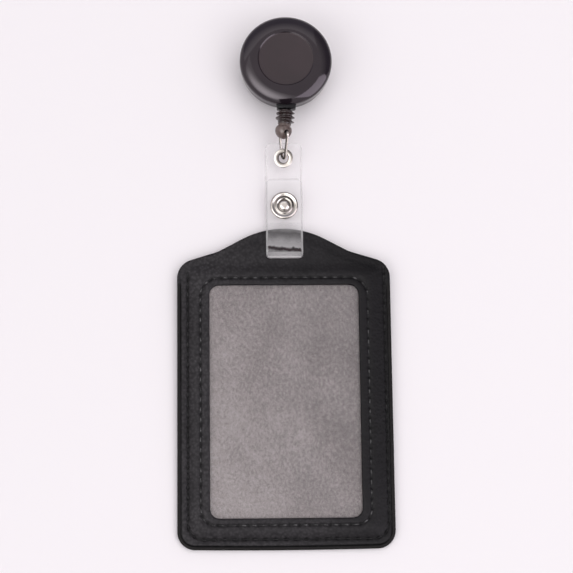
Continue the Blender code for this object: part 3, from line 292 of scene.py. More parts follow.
def makeCard(name, turn, rise, size, strength, shadedFrom, stops):
    # A card that only mirrors see, 1 m off: its glow is shaded from its middle, or from its foot.
    finish = Finish(name, Base_Color=(0.0, 0.0, 0.0), Roughness=1.0, Specular_IOR_Level=0.0,
                    Emission_Strength=strength)
    card = stagedSheet(name, *size, finish)
    card.location = Vector((math.cos(turn * deg) * math.cos(rise * deg),
                            math.sin(turn * deg) * math.cos(rise * deg), math.sin(rise * deg)))
    card.rotation_euler = (-card.location).to_track_quat("-Z", "Y").to_euler()
    for ray in ("camera", "diffuse", "transmission", "volume_scatter", "shadow"):
        setattr(card, "visible_" + ray, False)
    here = finish.place((2 / size[0], 2 / size[1], 1.0))
    if shadedFrom == "middle":
        away = finish.node("ShaderNodeVectorMath", {"operation": "LENGTH"}, {0: here})[1]
    else:
        away = finish.node("ShaderNodeSeparateXYZ", None, {"Vector": here})[1] * 0.5 + 0.5
    finish.use("Emission Color", finish.ramp(away, stops))


def makeRoom():
    # The camera, mirrors and clear pieces see a plain pale room, and the rest gets its soft fill.
    world = bpy.data.worlds.new("room")
    world.use_nodes = True
    room = Nodes(world.node_tree)
    ray = {value.socket.name: value for value in room.node("ShaderNodeLightPath")}
    seen = ray["Is Camera Ray"].maths("MAXIMUM", ray["Is Transmission Ray"])
    seen = seen.maths("MAXIMUM", ray["Is Glossy Ray"])
    fill = studio["roomFill"]
    back = room.tree.nodes["Background"]
    room.feed(back.inputs["Color"], studio["roomColour"])
    room.feed(back.inputs["Strength"], seen * (1.0 - fill) + fill)
    bpy.context.scene.world = world


makeCamera()
makeTable()
makeRoom()
for lamp in studio["lamps"]:
    makeLamp(*lamp)
for card in studio["cards"]:
    makeCard(*card)
bpy.context.scene.view_settings.view_transform = "Standard"
print("camera, table and lights")


# Meshes: each piece is drawn in its own frame, in millimetres, and then put in its place

sharpAngle = 45.0       # degrees between two faces from which their edge stays sharp


def newPiece(name, bm, finish, place=None, smooth=sharpAngle):
    if place is not None:
        bmesh.ops.transform(bm, matrix=place, verts=bm.verts)
    bmesh.ops.scale(bm, vec=(mm, mm, mm), verts=bm.verts)
    mesh = bpy.data.meshes.new(name)
    bm.to_mesh(mesh)
    bm.free()
    piece = bpy.data.objects.new(name, mesh)
    bpy.context.scene.collection.objects.link(piece)
    mesh.materials.append(finishes[finish].material)
    mesh.shade_smooth()
    mesh.set_sharp_from_angle(angle=smooth * deg)
    return piece


def seated(piece, node, body=None):
    # The piece stands for a solid of the model, whose own mesh is hidden. It rides on a body when
    # one is
    #  given.
    if body:
        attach(piece, body)
    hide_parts(node)


def moved(piece, place):
    # Takes a mesh that is already in metres to its place.
    piece.data.transform(at(*(place.translation * mm)) @ place.to_3x3().to_4x4())


def filleted(corners, closed=True, step=12.0):
    # Corners (x, y, radius) as a line whose corners are arcs.
    line = []
    count = len(corners)
    for index, (x, y, radius) in enumerate(corners):
        corner = Vector((x, y))
        if radius == 0 or (not closed and index in (0, count - 1)):
            line.append((x, y))
            continue
        back = (Vector(corners[index - 1][:2]) - corner).normalized()
        ahead = (Vector(corners[(index + 1) % count][:2]) - corner).normalized()
        half = back.angle(ahead) / 2
        start = corner + back * (radius / math.tan(half))
        centre = corner + (back + ahead).normalized() * (radius / math.sin(half))
        sweep = math.pi - 2 * half
        if back.x * ahead.y - back.y * ahead.x > 0:
            sweep = -sweep
        steps = max(2, math.ceil(abs(sweep) / (step * deg)))
        for i in range(steps + 1):
            line.append(tuple(centre + Matrix.Rotation(sweep * i / steps, 2) @ (start - centre)))
    return line


def loft(bm, rings, capped):
    # Joins rings of points with quads; caps are fans to their middle.
    rows = [[bm.verts.new(p) for p in ring] for ring in rings]
    for low, high in zip(rows, rows[1:]):
        for i in range(len(low)):
            bm.faces.new((low[i - 1], low[i], high[i], high[i - 1]))
    for row, turn in ((rows[0], -1), (rows[-1], 1)) if capped else ():
        middle = bm.verts.new(sum((v.co for v in row), Vector()) / len(row))
        for i in range(len(row)):
            pair = (row[i - 1], row[i]) if turn > 0 else (row[i], row[i - 1])
            bm.faces.new((*pair, middle))


def turned(profile, steps, ring=False):
    # A line of (radius, height) turned about Z. An open line starts and ends on the axis.
    bm = bmesh.new()
    rows = []
    for radius, height in profile:
        if radius < 1e-6:
            rows.append([bm.verts.new((0, 0, height))])
            continue
        rows.append([bm.verts.new((radius * math.cos(math.tau * i / steps),
                                   radius * math.sin(math.tau * i / steps), height))
                     for i in range(steps)])
    pairs = list(zip(rows, rows[1:]))
    if ring:
        pairs.append((rows[-1], rows[0]))
    for a, b in pairs:
        for i in range(steps):
            if len(a) == 1 and len(b) > 1:
                bm.faces.new((a[0], b[i], b[i - 1]))
            elif len(b) == 1 and len(a) > 1:
                bm.faces.new((a[i - 1], a[i], b[0]))
            elif len(a) > 1:
                bm.faces.new((a[i - 1], a[i], b[i], b[i - 1]))
    bmesh.ops.recalc_face_normals(bm, faces=bm.faces)
    return bm


def tubeAlong(points, radius, sides=12, closed=False):
    # A round wire or cord along points. Its rings are carried along without twist.
    points = [Vector(p) for p in points]
    count = len(points)
    tangents = []
    for i in range(count):
        before = points[i - 1] if closed or i > 0 else points[i]
        after = points[(i + 1) % count] if closed or i < count - 1 else points[i]
        tangents.append((after - before).normalized())
    side = tangents[0].orthogonal().normalized()
    sidesAt = []
    for i, tangent in enumerate(tangents):
        side = (side - tangent * side.dot(tangent)).normalized()
        sidesAt.append(side)
    twist = 0.0
    if closed:
        last = sidesAt[-1] - tangents[0] * sidesAt[-1].dot(tangents[0])
        last.normalize()
        twist = math.atan2(tangents[0].dot(sidesAt[0].cross(last)), sidesAt[0].dot(last))
    bm = bmesh.new()
    rings = []
    for i, (point, tangent, along) in enumerate(zip(points, tangents, sidesAt)):
        along = Matrix.Rotation(-twist * i / count, 3, tangent) @ along
        across = tangent.cross(along)
        rings.append([point + radius * (math.cos(a) * along + math.sin(a) * across)
                      for a in (math.tau * k / sides for k in range(sides))])
    if closed:
        rings.append(rings[0])
    loft(bm, rings, not closed)
    if closed:
        bmesh.ops.remove_doubles(bm, verts=bm.verts, dist=1e-5)
    bmesh.ops.recalc_face_normals(bm, faces=bm.faces)
    return bm


def boxed(size, place):
    bm = bmesh.new()
    bmesh.ops.create_cube(bm, size=1.0, matrix=place @ Matrix.Diagonal((*size, 1.0)))
    return bm


def cone(near, far, length, place, steps):
    bm = bmesh.new()
    bmesh.ops.create_cone(bm, cap_ends=True, segments=steps, radius1=near, radius2=far,
                          depth=length, matrix=place)
    return bm


def roundPin(radius, length, place):
    return cone(radius, radius, length, place, 40)


def carved(piece, bm, name):
    # Cuts a shape, in world millimetres, out of a piece for good.
    cutter = newPiece(name, bm, next(iter(finishes)))
    cut = piece.modifiers.new(name, "BOOLEAN")
    cut.operation, cut.solver, cut.object = "DIFFERENCE", "EXACT", cutter
    applied(piece)
    bpy.data.objects.remove(cutter, do_unlink=True)


def applied(piece):
    # Takes what the modifiers make as the piece's own mesh.
    bpy.context.view_layer.update()
    graph = bpy.context.evaluated_depsgraph_get()
    made = bpy.data.meshes.new_from_object(piece.evaluated_get(graph), depsgraph=graph)
    old = piece.data
    piece.modifiers.clear()
    piece.data = made
    made.name = piece.name
    bpy.data.meshes.remove(old)
    made.shade_smooth()
    made.set_sharp_from_angle(angle=sharpAngle * deg)


def at(x, y, z):
    return Matrix.Translation((x, y, z))


def along(direction, across):
    # A rotation whose Z runs along a direction and whose X lies nearest to another.
    z = Vector(direction).normalized()
    x = Vector(across)
    x = (x - z * x.dot(z)).normalized()
    return Matrix((x, z.cross(x), z)).transposed().to_4x4()


def putAttribute(piece, name, values):
    layer = piece.data.attributes.new(name, "FLOAT", "POINT")
    layer.data.foreach_set("value", np.asarray(values, np.float32))


def pointsOf(piece):
    numbers = np.empty(len(piece.data.vertices) * 3)
    piece.data.vertices.foreach_get("co", numbers)
    return numbers.reshape(-1, 3)


def normalsOf(piece):
    numbers = np.empty(len(piece.data.vertices) * 3, np.float32)
    piece.data.vertex_normals.foreach_get("vector", numbers)
    return numbers.reshape(-1, 3)


# Sheets: flat outlines filled with points, given a height above and below

sheets = {
    "edgeSpacing": 0.7, "rowSpacing": 0.45,     # mm between the points of a line
    "rowShare": 0.87, "nearShare": 0.45,        # shares of the spacing between the filling points
}


def distanceTo(points, line, closed=True):
    ends = np.asarray(line, float)
    starts = np.roll(ends, 1, axis=0) if closed else ends[:-1]
    ends = ends if closed else ends[1:]
    run = ends - starts
    least = np.full(len(points), 1e9)
    for start, step in zip(starts, run):
        share = np.clip((points - start) @ step / max(step @ step, 1e-12), 0, 1)
        gap = points - start - share[:, None] * step
        least = np.minimum(least, np.hypot(gap[:, 0], gap[:, 1]))
    return least


def within(points, line):
    x, y = points[:, 0], points[:, 1]
    odd = np.zeros(len(points), bool)
    for (ax, ay), (bx, by) in zip(np.roll(np.asarray(line), 1, axis=0), line):
        crosses = (ay > y) != (by > y)
        if ay != by:
            odd ^= crosses & (x < (bx - ax) * (y - ay) / (by - ay) + ax)
    return odd


def inset(line, distance):
    # A closed counterclockwise outline moved inwards.
    moved = []
    for i, place in enumerate(line):
        here = Vector(place)
        back = (here - Vector(line[i - 1])).normalized()
        ahead = (Vector(line[(i + 1) % len(line)]) - here).normalized()
        normal = Vector((-back.y - ahead.y, back.x + ahead.x)).normalized()
        spread = max(normal.dot(Vector((-back.y, back.x))), 0.5)
        moved.append(tuple(here + normal * (distance / spread)))
    return moved


def placesAlong(line, closed, marksOf):
    # Points of a line, at the marks that are worked out from its length.
    points = np.asarray(line + line[:1] if closed else line, float)
    length = np.concatenate([[0], np.cumsum(np.hypot(*np.diff(points, axis=0).T))])
    marks = marksOf(length[-1])
    return np.stack([np.interp(marks, length, points[:, k]) for k in (0, 1)], axis=1)


def evenly(line, spacing, closed=True):
    # Points a set distance apart along a line.
    def marks(total):
        count = max(4, round(total / spacing))
        return np.linspace(0, total, count + 1)[:count if closed else None]
    return placesAlong(line, closed, marks)


def sheetBetween(outline, holes, extras, spacing, top, bottom):
    # A closed sheet. Extras are rows of points where its surface turns sharply.
    loops = [evenly(line, sheets["edgeSpacing"]) for line in (outline, *holes)]
    rows = [evenly(line, sheets["rowSpacing"], closed) for line, closed in extras]
    fixed = np.concatenate(loops + rows)
    low, high = loops[0].min(axis=0), loops[0].max(axis=0)
    xs = np.arange(low[0], high[0], spacing)
    ys = np.arange(low[1], high[1], spacing * sheets["rowShare"])
    grid = np.array([(x + (row % 2) * spacing / 2, y) for row, y in enumerate(ys) for x in xs])
    near = np.zeros(len(grid), bool)
    for line, closed in [(outline, True), *((hole, True) for hole in holes), *extras]:
        near |= distanceTo(grid, line, closed) < spacing * sheets["nearShare"]
    grid = grid[within(grid, outline) & ~near]
    points = np.concatenate([fixed, grid])
    keep = within(points, outline)
    for hole in holes:
        keep &= ~within(points, hole)
    keep[:sum(map(len, loops))] = True
    points = points[keep]
    edges, first = [], 0
    for loop in loops:
        count = len(loop)
        edges += [(first + i, first + (i + 1) % count) for i in range(count)]
        first += count
    made = delaunay_2d_cdt([Vector(p) for p in points], edges, [], 0, 1e-6)
    flat = np.array([tuple(v) for v in made[0]])
    faces = np.array([f for f in made[2] if len(f) == 3])
    middle = flat[faces].mean(axis=1)
    good = within(middle, loops[0])
    for loop in loops[1:]:
        good &= ~within(middle, loop)
    faces = faces[good]
    a, b, c = (flat[faces[:, k]] for k in range(3))
    turn = (b - a)[:, 0] * (c - a)[:, 1] - (b - a)[:, 1] * (c - a)[:, 0]
    faces[turn < 0] = faces[turn < 0][:, ::-1]
    bm = bmesh.new()
    upper = [bm.verts.new((x, y, z)) for (x, y), z in zip(flat, top(flat))]
    lower = [bm.verts.new((x, y, z)) for (x, y), z in zip(flat, bottom(flat))]
    sides = {}
    for i, j, k in faces:
        bm.faces.new((upper[i], upper[j], upper[k]))
        bm.faces.new((lower[k], lower[j], lower[i]))
        for pair in ((i, j), (j, k), (k, i)):
            sides[pair] = True
    for i, j in sides:
        if (j, i) not in sides:
            bm.faces.new((upper[j], upper[i], lower[i], lower[j]))
    bmesh.ops.delete(bm, geom=[v for v in bm.verts if not v.link_faces], context="VERTS")
    return bm


def smoothShare(share):
    share = np.clip(share, 0.0, 1.0)
    return share * share * (3 - 2 * share)


def rolled(distance, radius):
    # How far a rounded edge falls below its face.
    inner = np.clip(radius - distance, 0.0, radius)
    return radius - np.sqrt(radius * radius - inner * inner)


# Holder: two panels of soft grained leather, sewn round a window and open at the top

holder = {
    "width": 73.0, "length": 110.0, "bottomCorner": 6.0, "bow": 0.4, "tilt": 0.87,
    "foldFromBottom": 102.2,
    "crestRadius": 30.0, "crestSlope": 28.0, "crestHalfWidth": 22.5, "footRadius": 15.0,
    "shoulderSlope": 17.2, "shoulderRadius": 6.5,
    "windowWidth": 51.0, "windowLength": 79.5, "windowFromBottom": 10.5, "windowCorner": 3.3,
    "slotWidth": 12.9, "slotLength": 2.6, "slotFromCrest": 7.9, "slotCorner": 1.2, "slotShift": 0.4,
    "windowSeam": 2.3, "windowSeamTop": 2.55, "windowSeamSide": 28.6,
    "windowSeamLow": 5.2, "windowSeamHigh": 6.3,
    "seamLeft": 32.9, "seamRight": 34.3, "seamBottom": 3.6, "seamCorner": 5.2,
    "seamTopLeft": 94.4, "seamTopRight": 96.0,
    "panel": 0.8, "frontFoot": 0.9, "rise": 1.15, "riseFrom": 3.4, "riseOver": 5.2,
    "roll": 0.36, "puff": 0.34, "marginPuff": 0.10, "dip": 0.30, "dipWidth": 0.5,
    "crease": 1.25, "creaseDepth": 0.34, "creaseWidth": 0.2, "creaseTo": 88.0, "creaseFade": 7.0,
    "pit": 0.30, "pitWidth": 0.48, "ripple": 0.05, "spacing": 0.66, "backSpacing": 2.2,
    "rollRows": (0.12, 0.26, 0.42), "creaseRows": (0.8, 1.05, 1.25, 1.45, 1.7),
    "seamRows": (-0.8, -0.45, -0.2, 0.0, 0.2, 0.45, 0.8), "windowRow": 0.8,
    "pocketFromSlot": 1.6, "pocketCorner": 4.3, "backRollShare": 0.8,
    "bandFromRim": (2.4, 1.6), "bandFromWindow": (1.6, 1.2), "swellOver": (1.1, 2.6),
    "outerSeamShade": (0.85, 0.36), "windowSeamShade": (0.6, 0.3), "creaseShade": 0.9,
}
pocket = {"lift": 0.4, "lining": 0.3, "nap": 0.04, "liningShare": 0.68, "liningSpacing": 2.0,
          "filmMargin": 2.8, "filmLift": 0.45, "film": 0.18, "filmSpacing": 2.5}
stitches = {"pitch": 3.4, "length": 2.4, "thread": 0.24, "sink": 0.34, "wander": 0.12, "seed": 4,
            "step": 0.5, "proudShare": 0.6}
foldY = jointAt["holder_swing"].y / mm
holderPlace = (at(0, foldY - holder["foldFromBottom"], 0)
               @ Matrix.Rotation(holder["tilt"] * deg, 4, "X"))


def holderOutline():
    h = holder
    half, slope = h["width"] / 2, h["crestSlope"] * deg
    apex = h["length"] + h["crestRadius"] * (1 / math.cos(slope) - 1)
    foot = apex - h["crestHalfWidth"] * math.tan(slope)
    shoulder = foot - (half - h["crestHalfWidth"]) * math.tan(h["shoulderSlope"] * deg)
    bow = [(half * k / 12, h["bow"] * (k / 12) ** 2, 0.0) for k in range(-9, 10)]
    right = [(half, h["bow"], h["bottomCorner"]), (half, shoulder, h["shoulderRadius"]),
             (h["crestHalfWidth"], foot, h["footRadius"])]
    left = [(-x, y, radius) for x, y, radius in reversed(right)]
    return filleted(bow + right + [(0.0, apex, h["crestRadius"])] + left, step=4.0)


def roundRectangle(left, right, bottom, top, radius):
    return filleted([(left, bottom, radius), (right, bottom, radius),
                     (right, top, radius), (left, top, radius)], step=9.0)


def windowOutline(margin):
    half, low = holder["windowWidth"] / 2 + margin, holder["windowFromBottom"]
    return roundRectangle(-half, half, low - margin, low + holder["windowLength"] + margin,
                          holder["windowCorner"] + margin)


def slotOutline():
    top, half = holder["length"] - holder["slotFromCrest"], holder["slotWidth"] / 2
    shift = holder["slotShift"]
    return roundRectangle(shift - half, shift + half, top - holder["slotLength"], top,
                          holder["slotCorner"])


def pocketOutline(stepIn):
    edge = holder["riseFrom"] + stepIn
    half = holder["width"] / 2 - edge
    slotFoot = holder["length"] - holder["slotFromCrest"] - holder["slotLength"]
    return roundRectangle(-half, half, edge, slotFoot - holder["pocketFromSlot"] - stepIn,
                          holder["pocketCorner"])


def outerSeam(out=0.0):
    h = holder
    left, right, low = -h["seamLeft"] - out, h["seamRight"] + out, h["seamBottom"] - out
    corner = h["seamCorner"] + out
    return filleted([(left, h["seamTopLeft"], 0), (left, low, corner), (right, low, corner),
                     (right, h["seamTopRight"], 0)], closed=False, step=8.0)


def windowSeam(out=0.0):
    h = holder
    half, low = h["windowSeamSide"] + out, h["windowFromBottom"] - h["windowSeam"] - out
    top = h["windowFromBottom"] + h["windowLength"] + h["windowSeamTop"] + out
    under, over = h["windowSeamLow"] + out, h["windowSeamHigh"] + out
    return filleted([(-half, low, under), (half, low, under), (half, top, over),
                     (-half, top, over)], step=9.0)


def stitchCount(line, closed):
    step = stitches["step"]
    return round(len(evenly(line, step, closed)) * step / stitches["pitch"])


def pits():
    # Where the thread goes down through the leather, between two stitches.
    places = []
    for line, closed in ((outerSeam(), False), (windowSeam(), True)):
        count = stitchCount(line, closed)
        places.append(placesAlong(line, closed,
                                  lambda total: (np.arange(count) + 0.5) * total / count))
    return np.concatenate(places)


def nearPit(points):
    least = np.full(len(points), 1e9)
    for place in pits():
        least = np.minimum(least, np.hypot(*(points - place).T))
    return np.exp(-(least / holder["pitWidth"]) ** 2)


def creasing(points, outside):
    # The pressed line inside the rim. It fades out above the shoulders.
    h = holder
    fade = 1 - smoothShare((points[:, 1] - h["creaseTo"]) / h["creaseFade"])
    return fade * np.exp(-((outside - h["crease"]) / h["creaseWidth"]) ** 2)


def panelHeight(points):
    # Top of the front panel above the holder's back face.
    h = holder
    outside = distanceTo(points, holderOutline())
    edge = np.minimum(outside, distanceTo(points, slotOutline()))
    rim = distanceTo(points, windowOutline(0.0))
    sewn = np.minimum(distanceTo(points, outerSeam(), False), distanceTo(points, windowSeam()))
    inBand = 1.0
    for distance, (start, over) in ((outside, h["bandFromRim"]), (rim, h["bandFromWindow"])):
        inBand = inBand * smoothShare((distance - start) / over)
    swell = h["marginPuff"] + (h["puff"] - h["marginPuff"]) * inBand
    narrow, wide = h["swellOver"]
    height = panelUnderside(points) + h["panel"]
    height += swell * smoothShare(np.minimum(sewn, np.minimum(outside, rim) * 1.5)
                                  / (narrow + (wide - narrow) * inBand))
    height -= h["dip"] * np.exp(-(sewn / h["dipWidth"]) ** 2) + h["pit"] * nearPit(points)
    height -= h["creaseDepth"] * creasing(points, outside)
    height -= rolled(np.minimum(edge, rim), h["roll"])
    x, y = points[:, 0], points[:, 1]
    height += h["ripple"] * np.sin(x * 0.31 + 1.3) * np.sin(y * 0.23 + 0.4)
    height += 0.5 * h["ripple"] * np.sin(x * 0.9 - y * 0.5) * np.sin(y * 0.71)
    return height


def panelUnderside(points):
    # The front panel rises over its pocket.
    depth = distanceTo(points, pocketOutline(0.0)) * within(points, pocketOutline(0.0))
    return holder["frontFoot"] + holder["rise"] * smoothShare(depth / holder["riseOver"])


def makePanels():
    h = holder
    outline, window, slot = holderOutline(), windowOutline(0.0), slotOutline()
    extras = [(inset(outline, d), True) for d in (*h["rollRows"], *h["creaseRows"])]
    extras += [(windowOutline(d), True) for d in (*h["rollRows"], h["windowRow"])]
    extras += [(inset(slot, -d), True) for d in h["rollRows"]]
    for d in h["seamRows"]:
        extras += [(windowSeam(d), True), (outerSeam(d), False)]
    bm = sheetBetween(outline, [window, slot], extras, h["spacing"], panelHeight, panelUnderside)
    front = newPiece("frontLeather", bm, "grainedLeather", smooth=50.0)
    flat = pointsOf(front)[:, :2] / mm
    outside = distanceTo(flat, outline)
    # Painted shade: the crease, the thread pits and both seams are darkened in the leather's colour.
    sunk = [h["creaseShade"] * creasing(flat, outside), nearPit(flat)]
    for (tone, wide), line, closed in ((h["outerSeamShade"], outerSeam(), False),
                                       (h["windowSeamShade"], windowSeam(), True)):
        sunk.append(tone * np.exp(-(distanceTo(flat, line, closed) / wide) ** 2))
    putAttribute(front, "sunk", np.max(sunk, axis=0))
    putAttribute(front, "band", (outside < h["crease"]) * (flat[:, 1] < h["creaseTo"] + 3))
    moved(front, holderPlace)
    seated(front, "front_panel", "holder")

    def fall(points, radius):
        return rolled(np.minimum(distanceTo(points, outline), distanceTo(points, slot)), radius)

    extras = [(inset(line, side * d), True) for line, side in ((outline, 1), (slot, -1))
              for d in h["rollRows"]]
    bm = sheetBetween(outline, [slot], extras, h["backSpacing"],
                      lambda points: h["panel"] - fall(points, h["roll"] * h["backRollShare"]),
                      lambda points: fall(points, h["roll"]))
    back = newPiece("backLeather", bm, "grainedLeather", holderPlace, smooth=50.0)
    seated(back, "back_panel", "holder")


def makePocket():
    h, p = holder, pocket
    low = h["frontFoot"] + p["lift"]

    def nap(points):
        x, y = points[:, 0], points[:, 1]
        return low + p["lining"] + p["nap"] * np.sin(x * 0.21 + 0.5) * np.sin(y * 0.17)

    side = pocketOutline(h["riseOver"] * p["liningShare"])
    bm = sheetBetween(side, [], [], p["liningSpacing"], nap,
                      lambda points: np.full(len(points), low))
    lining = newPiece("suedeLining", bm, "brushedSuede", holderPlace)
    seated(lining, "pocket_lining", "holder")

    def film(points):
        bow = 0.05 * np.cos(points[:, 0] * 0.055) + 0.02 * np.sin(points[:, 1] * 0.12)
        return low + p["filmLift"] + bow

    edge = windowOutline(p["filmMargin"])
    bm = sheetBetween(edge, [], [], p["filmSpacing"], lambda points: film(points) + p["film"], film)
    window = newPiece("windowFilm", bm, "clearFilm", holderPlace)
    seated(window, "window_film", "holder")


def stitchTree():
    # Short curved stitches, set along a line, each one turned a little.
    t = Growth("stitchesAlongSeam", ("Pitch", "Length", "Thread", "Sink", "Wander"))
    g = t.given
    line = t.node("GeometryNodeMeshToCurve", None, {"Mesh": g["Geometry"]})[0]
    spaced = t.node("GeometryNodeResampleCurve", {"mode": "LENGTH"},
                    {"Curve": line, "Length": g["Pitch"]})[0]
    down = g["Sink"] * -1.0
    ends = [t.node("ShaderNodeCombineXYZ", None, {"X": x, "Z": down})[0]
            for x in (g["Length"] * -0.5, g["Length"] * 0.5)]
    crown = t.node("ShaderNodeCombineXYZ", None, {"Z": g["Thread"]})[0]
    arc = t.node("GeometryNodeCurveQuadraticBezier", None,
                 {"Resolution": 10, "Start": ends[0], "Middle": crown, "End": ends[1]})[0]
    # Each point keeps its place along the stitch, for the thread's painted glint.
    arc = t.node("GeometryNodeStoreNamedAttribute", {"data_type": "FLOAT", "domain": "POINT"},
                 {"Geometry": arc, "Name": "along",
                  "Value": t.node("GeometryNodeSplineParameter")[0]})[0]
    ring = t.node("GeometryNodeCurvePrimitiveCircle", {"mode": "RADIUS"},
                  {"Resolution": 7, "Radius": g["Thread"]})[0]
    thread = t.node("GeometryNodeCurveToMesh", None,
                    {"Curve": arc, "Profile Curve": ring, "Fill Caps": True})[0]
    tangent = t.node("GeometryNodeInputTangent")[0]
    turn = t.node("FunctionNodeAlignRotationToVector", {"axis": "X", "pivot_axis": "Z"},
                  {"Vector": tangent})[0]
    swing = t.node("FunctionNodeRandomValue", {"data_type": "FLOAT"},
                   {2: g["Wander"] * -1.0, 3: g["Wander"], "Seed": g["Seed"]})[1]
    askew = t.node("ShaderNodeCombineXYZ", None, {"Z": swing})[0]
    askew = t.node("FunctionNodeEulerToRotation", None, {"Euler": askew})[0]
    turn = t.node("FunctionNodeRotateRotation", {"rotation_space": "LOCAL"},
                  {"Rotation": turn, "Rotate By": askew})[0]
    return t.end(t.node("GeometryNodeInstanceOnPoints", None,
                        {"Points": spaced, "Instance": thread, "Rotation": turn})[0])


def grown(piece, tree, values):
    # Runs a node tree on a piece and keeps what it makes as the piece's plain mesh.
    modifier = piece.modifiers.new(tree.name, "NODES")
    modifier.node_group = tree
    for item in tree.interface.items_tree:
        if item.item_type == "SOCKET" and item.in_out == "INPUT" and item.name in values:
            modifier[item.identifier] = values[item.name]
    applied(piece)


def lineMesh(name, points, closed):
    mesh = bpy.data.meshes.new(name)
    count = len(points)
    edges = [(i, i + 1) for i in range(count - 1)] + ([(count - 1, 0)] if closed else [])
    mesh.from_pydata([tuple(p) for p in points], edges, [])
    piece = bpy.data.objects.new(name, mesh)
    bpy.context.scene.collection.objects.link(piece)
    return piece


def makeStitches(tree, name, line, closed, node, finish, seedShift):
    spots = evenly(line, stitches["step"], closed)
    heights = (panelHeight(spots) + holder["pit"] * nearPit(spots)
               + stitches["proudShare"] * stitches["thread"])
    points = [holderPlace @ Vector((x, y, z)) * mm for (x, y), z in zip(spots, heights)]
    piece = lineMesh(name, points, closed)
    ends = zip(points, points[1:] + points[:1] if closed else points[1:])
    around = sum((b - a).length for a, b in ends)
    count = stitchCount(line, closed)
    grown(piece, tree, {
        "Pitch": around / count, "Length": stitches["length"] * mm,
        "Thread": stitches["thread"] * mm, "Sink": stitches["sink"] * mm,
        "Wander": stitches["wander"], "Seed": stitches["seed"] + seedShift,
        "Material": finishes[finish].material})
    seated(piece, node, "holder")
    print(name, count, "stitches")


# Clear strap: a flat strip of soft vinyl in three lengths, the tab and the rear leg, which meet
# under the snap, and the flap from the fold on

strap = {
    "width": 12.7, "thickness": 0.8, "x": 0.4, "edge": 0.24, "foldRadius": 2.1,
    "lift": 0.05, "rearLength": 26.7, "rearSlope": 4.4, "tabLength": 11.5, "tabSlope": 16.0,
    "flapLength": 25.2, "corner": 2.2, "bendRadius": 4.0, "meet": 11.5, "foldCorner": 1.2,
    "snapHole": 1.2, "eyeletHole": 2.1, "metalGap": 0.1,
    "tabBlend": 1.6, "foldBlend": (-0.9, 2.6),      # mm from the bend, and from the fold's axis
}
foldZ = strap["lift"] + strap["foldRadius"] + strap["thickness"] / 2
metalAt = strap["thickness"] / 2 + strap["metalGap"]


def ribbon(path, width, thickness, edge, corner=(0.0, 0.0), pinch=(0.0, -1000.0)):
    # A strip along (y, z) points. A rounded corner narrows it towards that end, and a pinch
    # (reach, y) does so where it turns back at that y.
    path = [Vector(p) for p in path]
    lengths = [0.0]
    for a, b in zip(path, path[1:]):
        lengths.append(lengths[-1] + (b - a).length)
    total = lengths[-1]
    half, top, across = width / 2, thickness / 2, 13
    section = []
    for quarter, (cx, cz) in enumerate(((half - edge, top - edge), (edge - half, top - edge),
                                        (edge - half, edge - top), (half - edge, edge - top))):
        for k in range(4):
            angle = math.pi / 2 * (quarter + k / 3)
            section.append((cx + edge * math.cos(angle), cz + edge * math.sin(angle)))
        if quarter in (0, 2):
            sign = 1 if quarter == 0 else -1
            reach = half - edge
            section += [(sign * reach * (1 - 2 * k / across), sign * top) for k in range(1, across)]
    rings = []
    for i, here in enumerate(path):
        ahead = path[min(i + 1, len(path) - 1)] - path[max(i - 1, 0)]
        ahead.normalize()
        up = Vector((-ahead.y, ahead.x))
        narrow = 0.0
        for reach, gap in ((corner[0], lengths[i]), (corner[1], total - lengths[i]),
                           (pinch[0], here.x - pinch[1])):
            if reach and gap < reach:
                narrow = reach - math.sqrt(max(reach ** 2 - (reach - gap) ** 2, 0.0))
        share = (half - narrow) / half
        rings.append([(x * share, here.x + z * up.x, here.y + z * up.y) for x, z in section])
    bm = bmesh.new()
    loft(bm, rings, True)
    bmesh.ops.recalc_face_normals(bm, faces=bm.faces)
    return bm


def arcTurned(start, heading, radius, sweep, step=0.5):
    # Points of an arc from a start, turning left by a sweep in radians.
    side = 1 if sweep > 0 else -1
    centre = start + Vector((-heading.y, heading.x)) * radius * side
    count = max(3, math.ceil(abs(sweep) * radius / step))
    return [centre + Matrix.Rotation(sweep * i / count, 2) @ (start - centre)
            for i in range(1, count + 1)]


def straight(start, end, step=0.6):
    count = max(2, round((end - start).length / step))
    return [start.lerp(end, i / count) for i in range(1, count + 1)]


def slowEnd(points, reach=2.2):
    # Packs more points into the last stretch, for a rounded corner.
    end = points[-1]
    kept = [p for p in points[:-1] if (p - end).length > reach]
    heading = (end - kept[-1]).normalized()
    return kept + [end - heading * reach * (1 - math.sin(k * 6 * deg)) for k in range(16)]


def strapLines():
    # The strap's middle line from the side: its tab, its rear leg down to the south end of the
    # fold, and its flap from there.
    s = strap
    slope, tabSlope = s["rearSlope"] * deg, s["tabSlope"] * deg
    legFar = foldZ - s["foldRadius"] * math.cos(slope) + s["rearLength"] * math.sin(slope)
    bend = Vector((foldY + s["rearLength"] * math.cos(slope) + s["foldRadius"] * math.sin(slope),
                   legFar))
    legWay = Vector((math.cos(slope), math.sin(slope)))
    tabWay = Vector((math.cos(tabSlope), math.sin(tabSlope)))
    meet = bend - legWay * (s["rearLength"] - s["meet"])
    reach = s["bendRadius"] * math.tan((tabSlope - slope) / 2)
    lower = [meet] + straight(meet, bend - legWay * reach)
    lower += arcTurned(lower[-1], legWay, s["bendRadius"], tabSlope - slope)
    lower += straight(lower[-1], bend + tabWay * s["tabLength"])
    lower = slowEnd(lower)
    foldStart = bend - legWay * s["rearLength"]
    leg = [meet - legWay * 0.02] + straight(meet - legWay * 0.02, foldStart)
    leg += arcTurned(foldStart, -legWay, s["foldRadius"], -(math.pi / 2 + slope), 0.35)
    start = leg[-1] + Vector((0, 0.01))
    upper = [start] + arcTurned(start, Vector((0, 1)), s["foldRadius"], -math.pi / 2, 0.35)
    flapEnd = Vector((foldY + s["flapLength"], foldZ + s["foldRadius"]))
    upper += straight(upper[-1], flapEnd, 0.4)
    return lower, leg, slowEnd(upper), bend


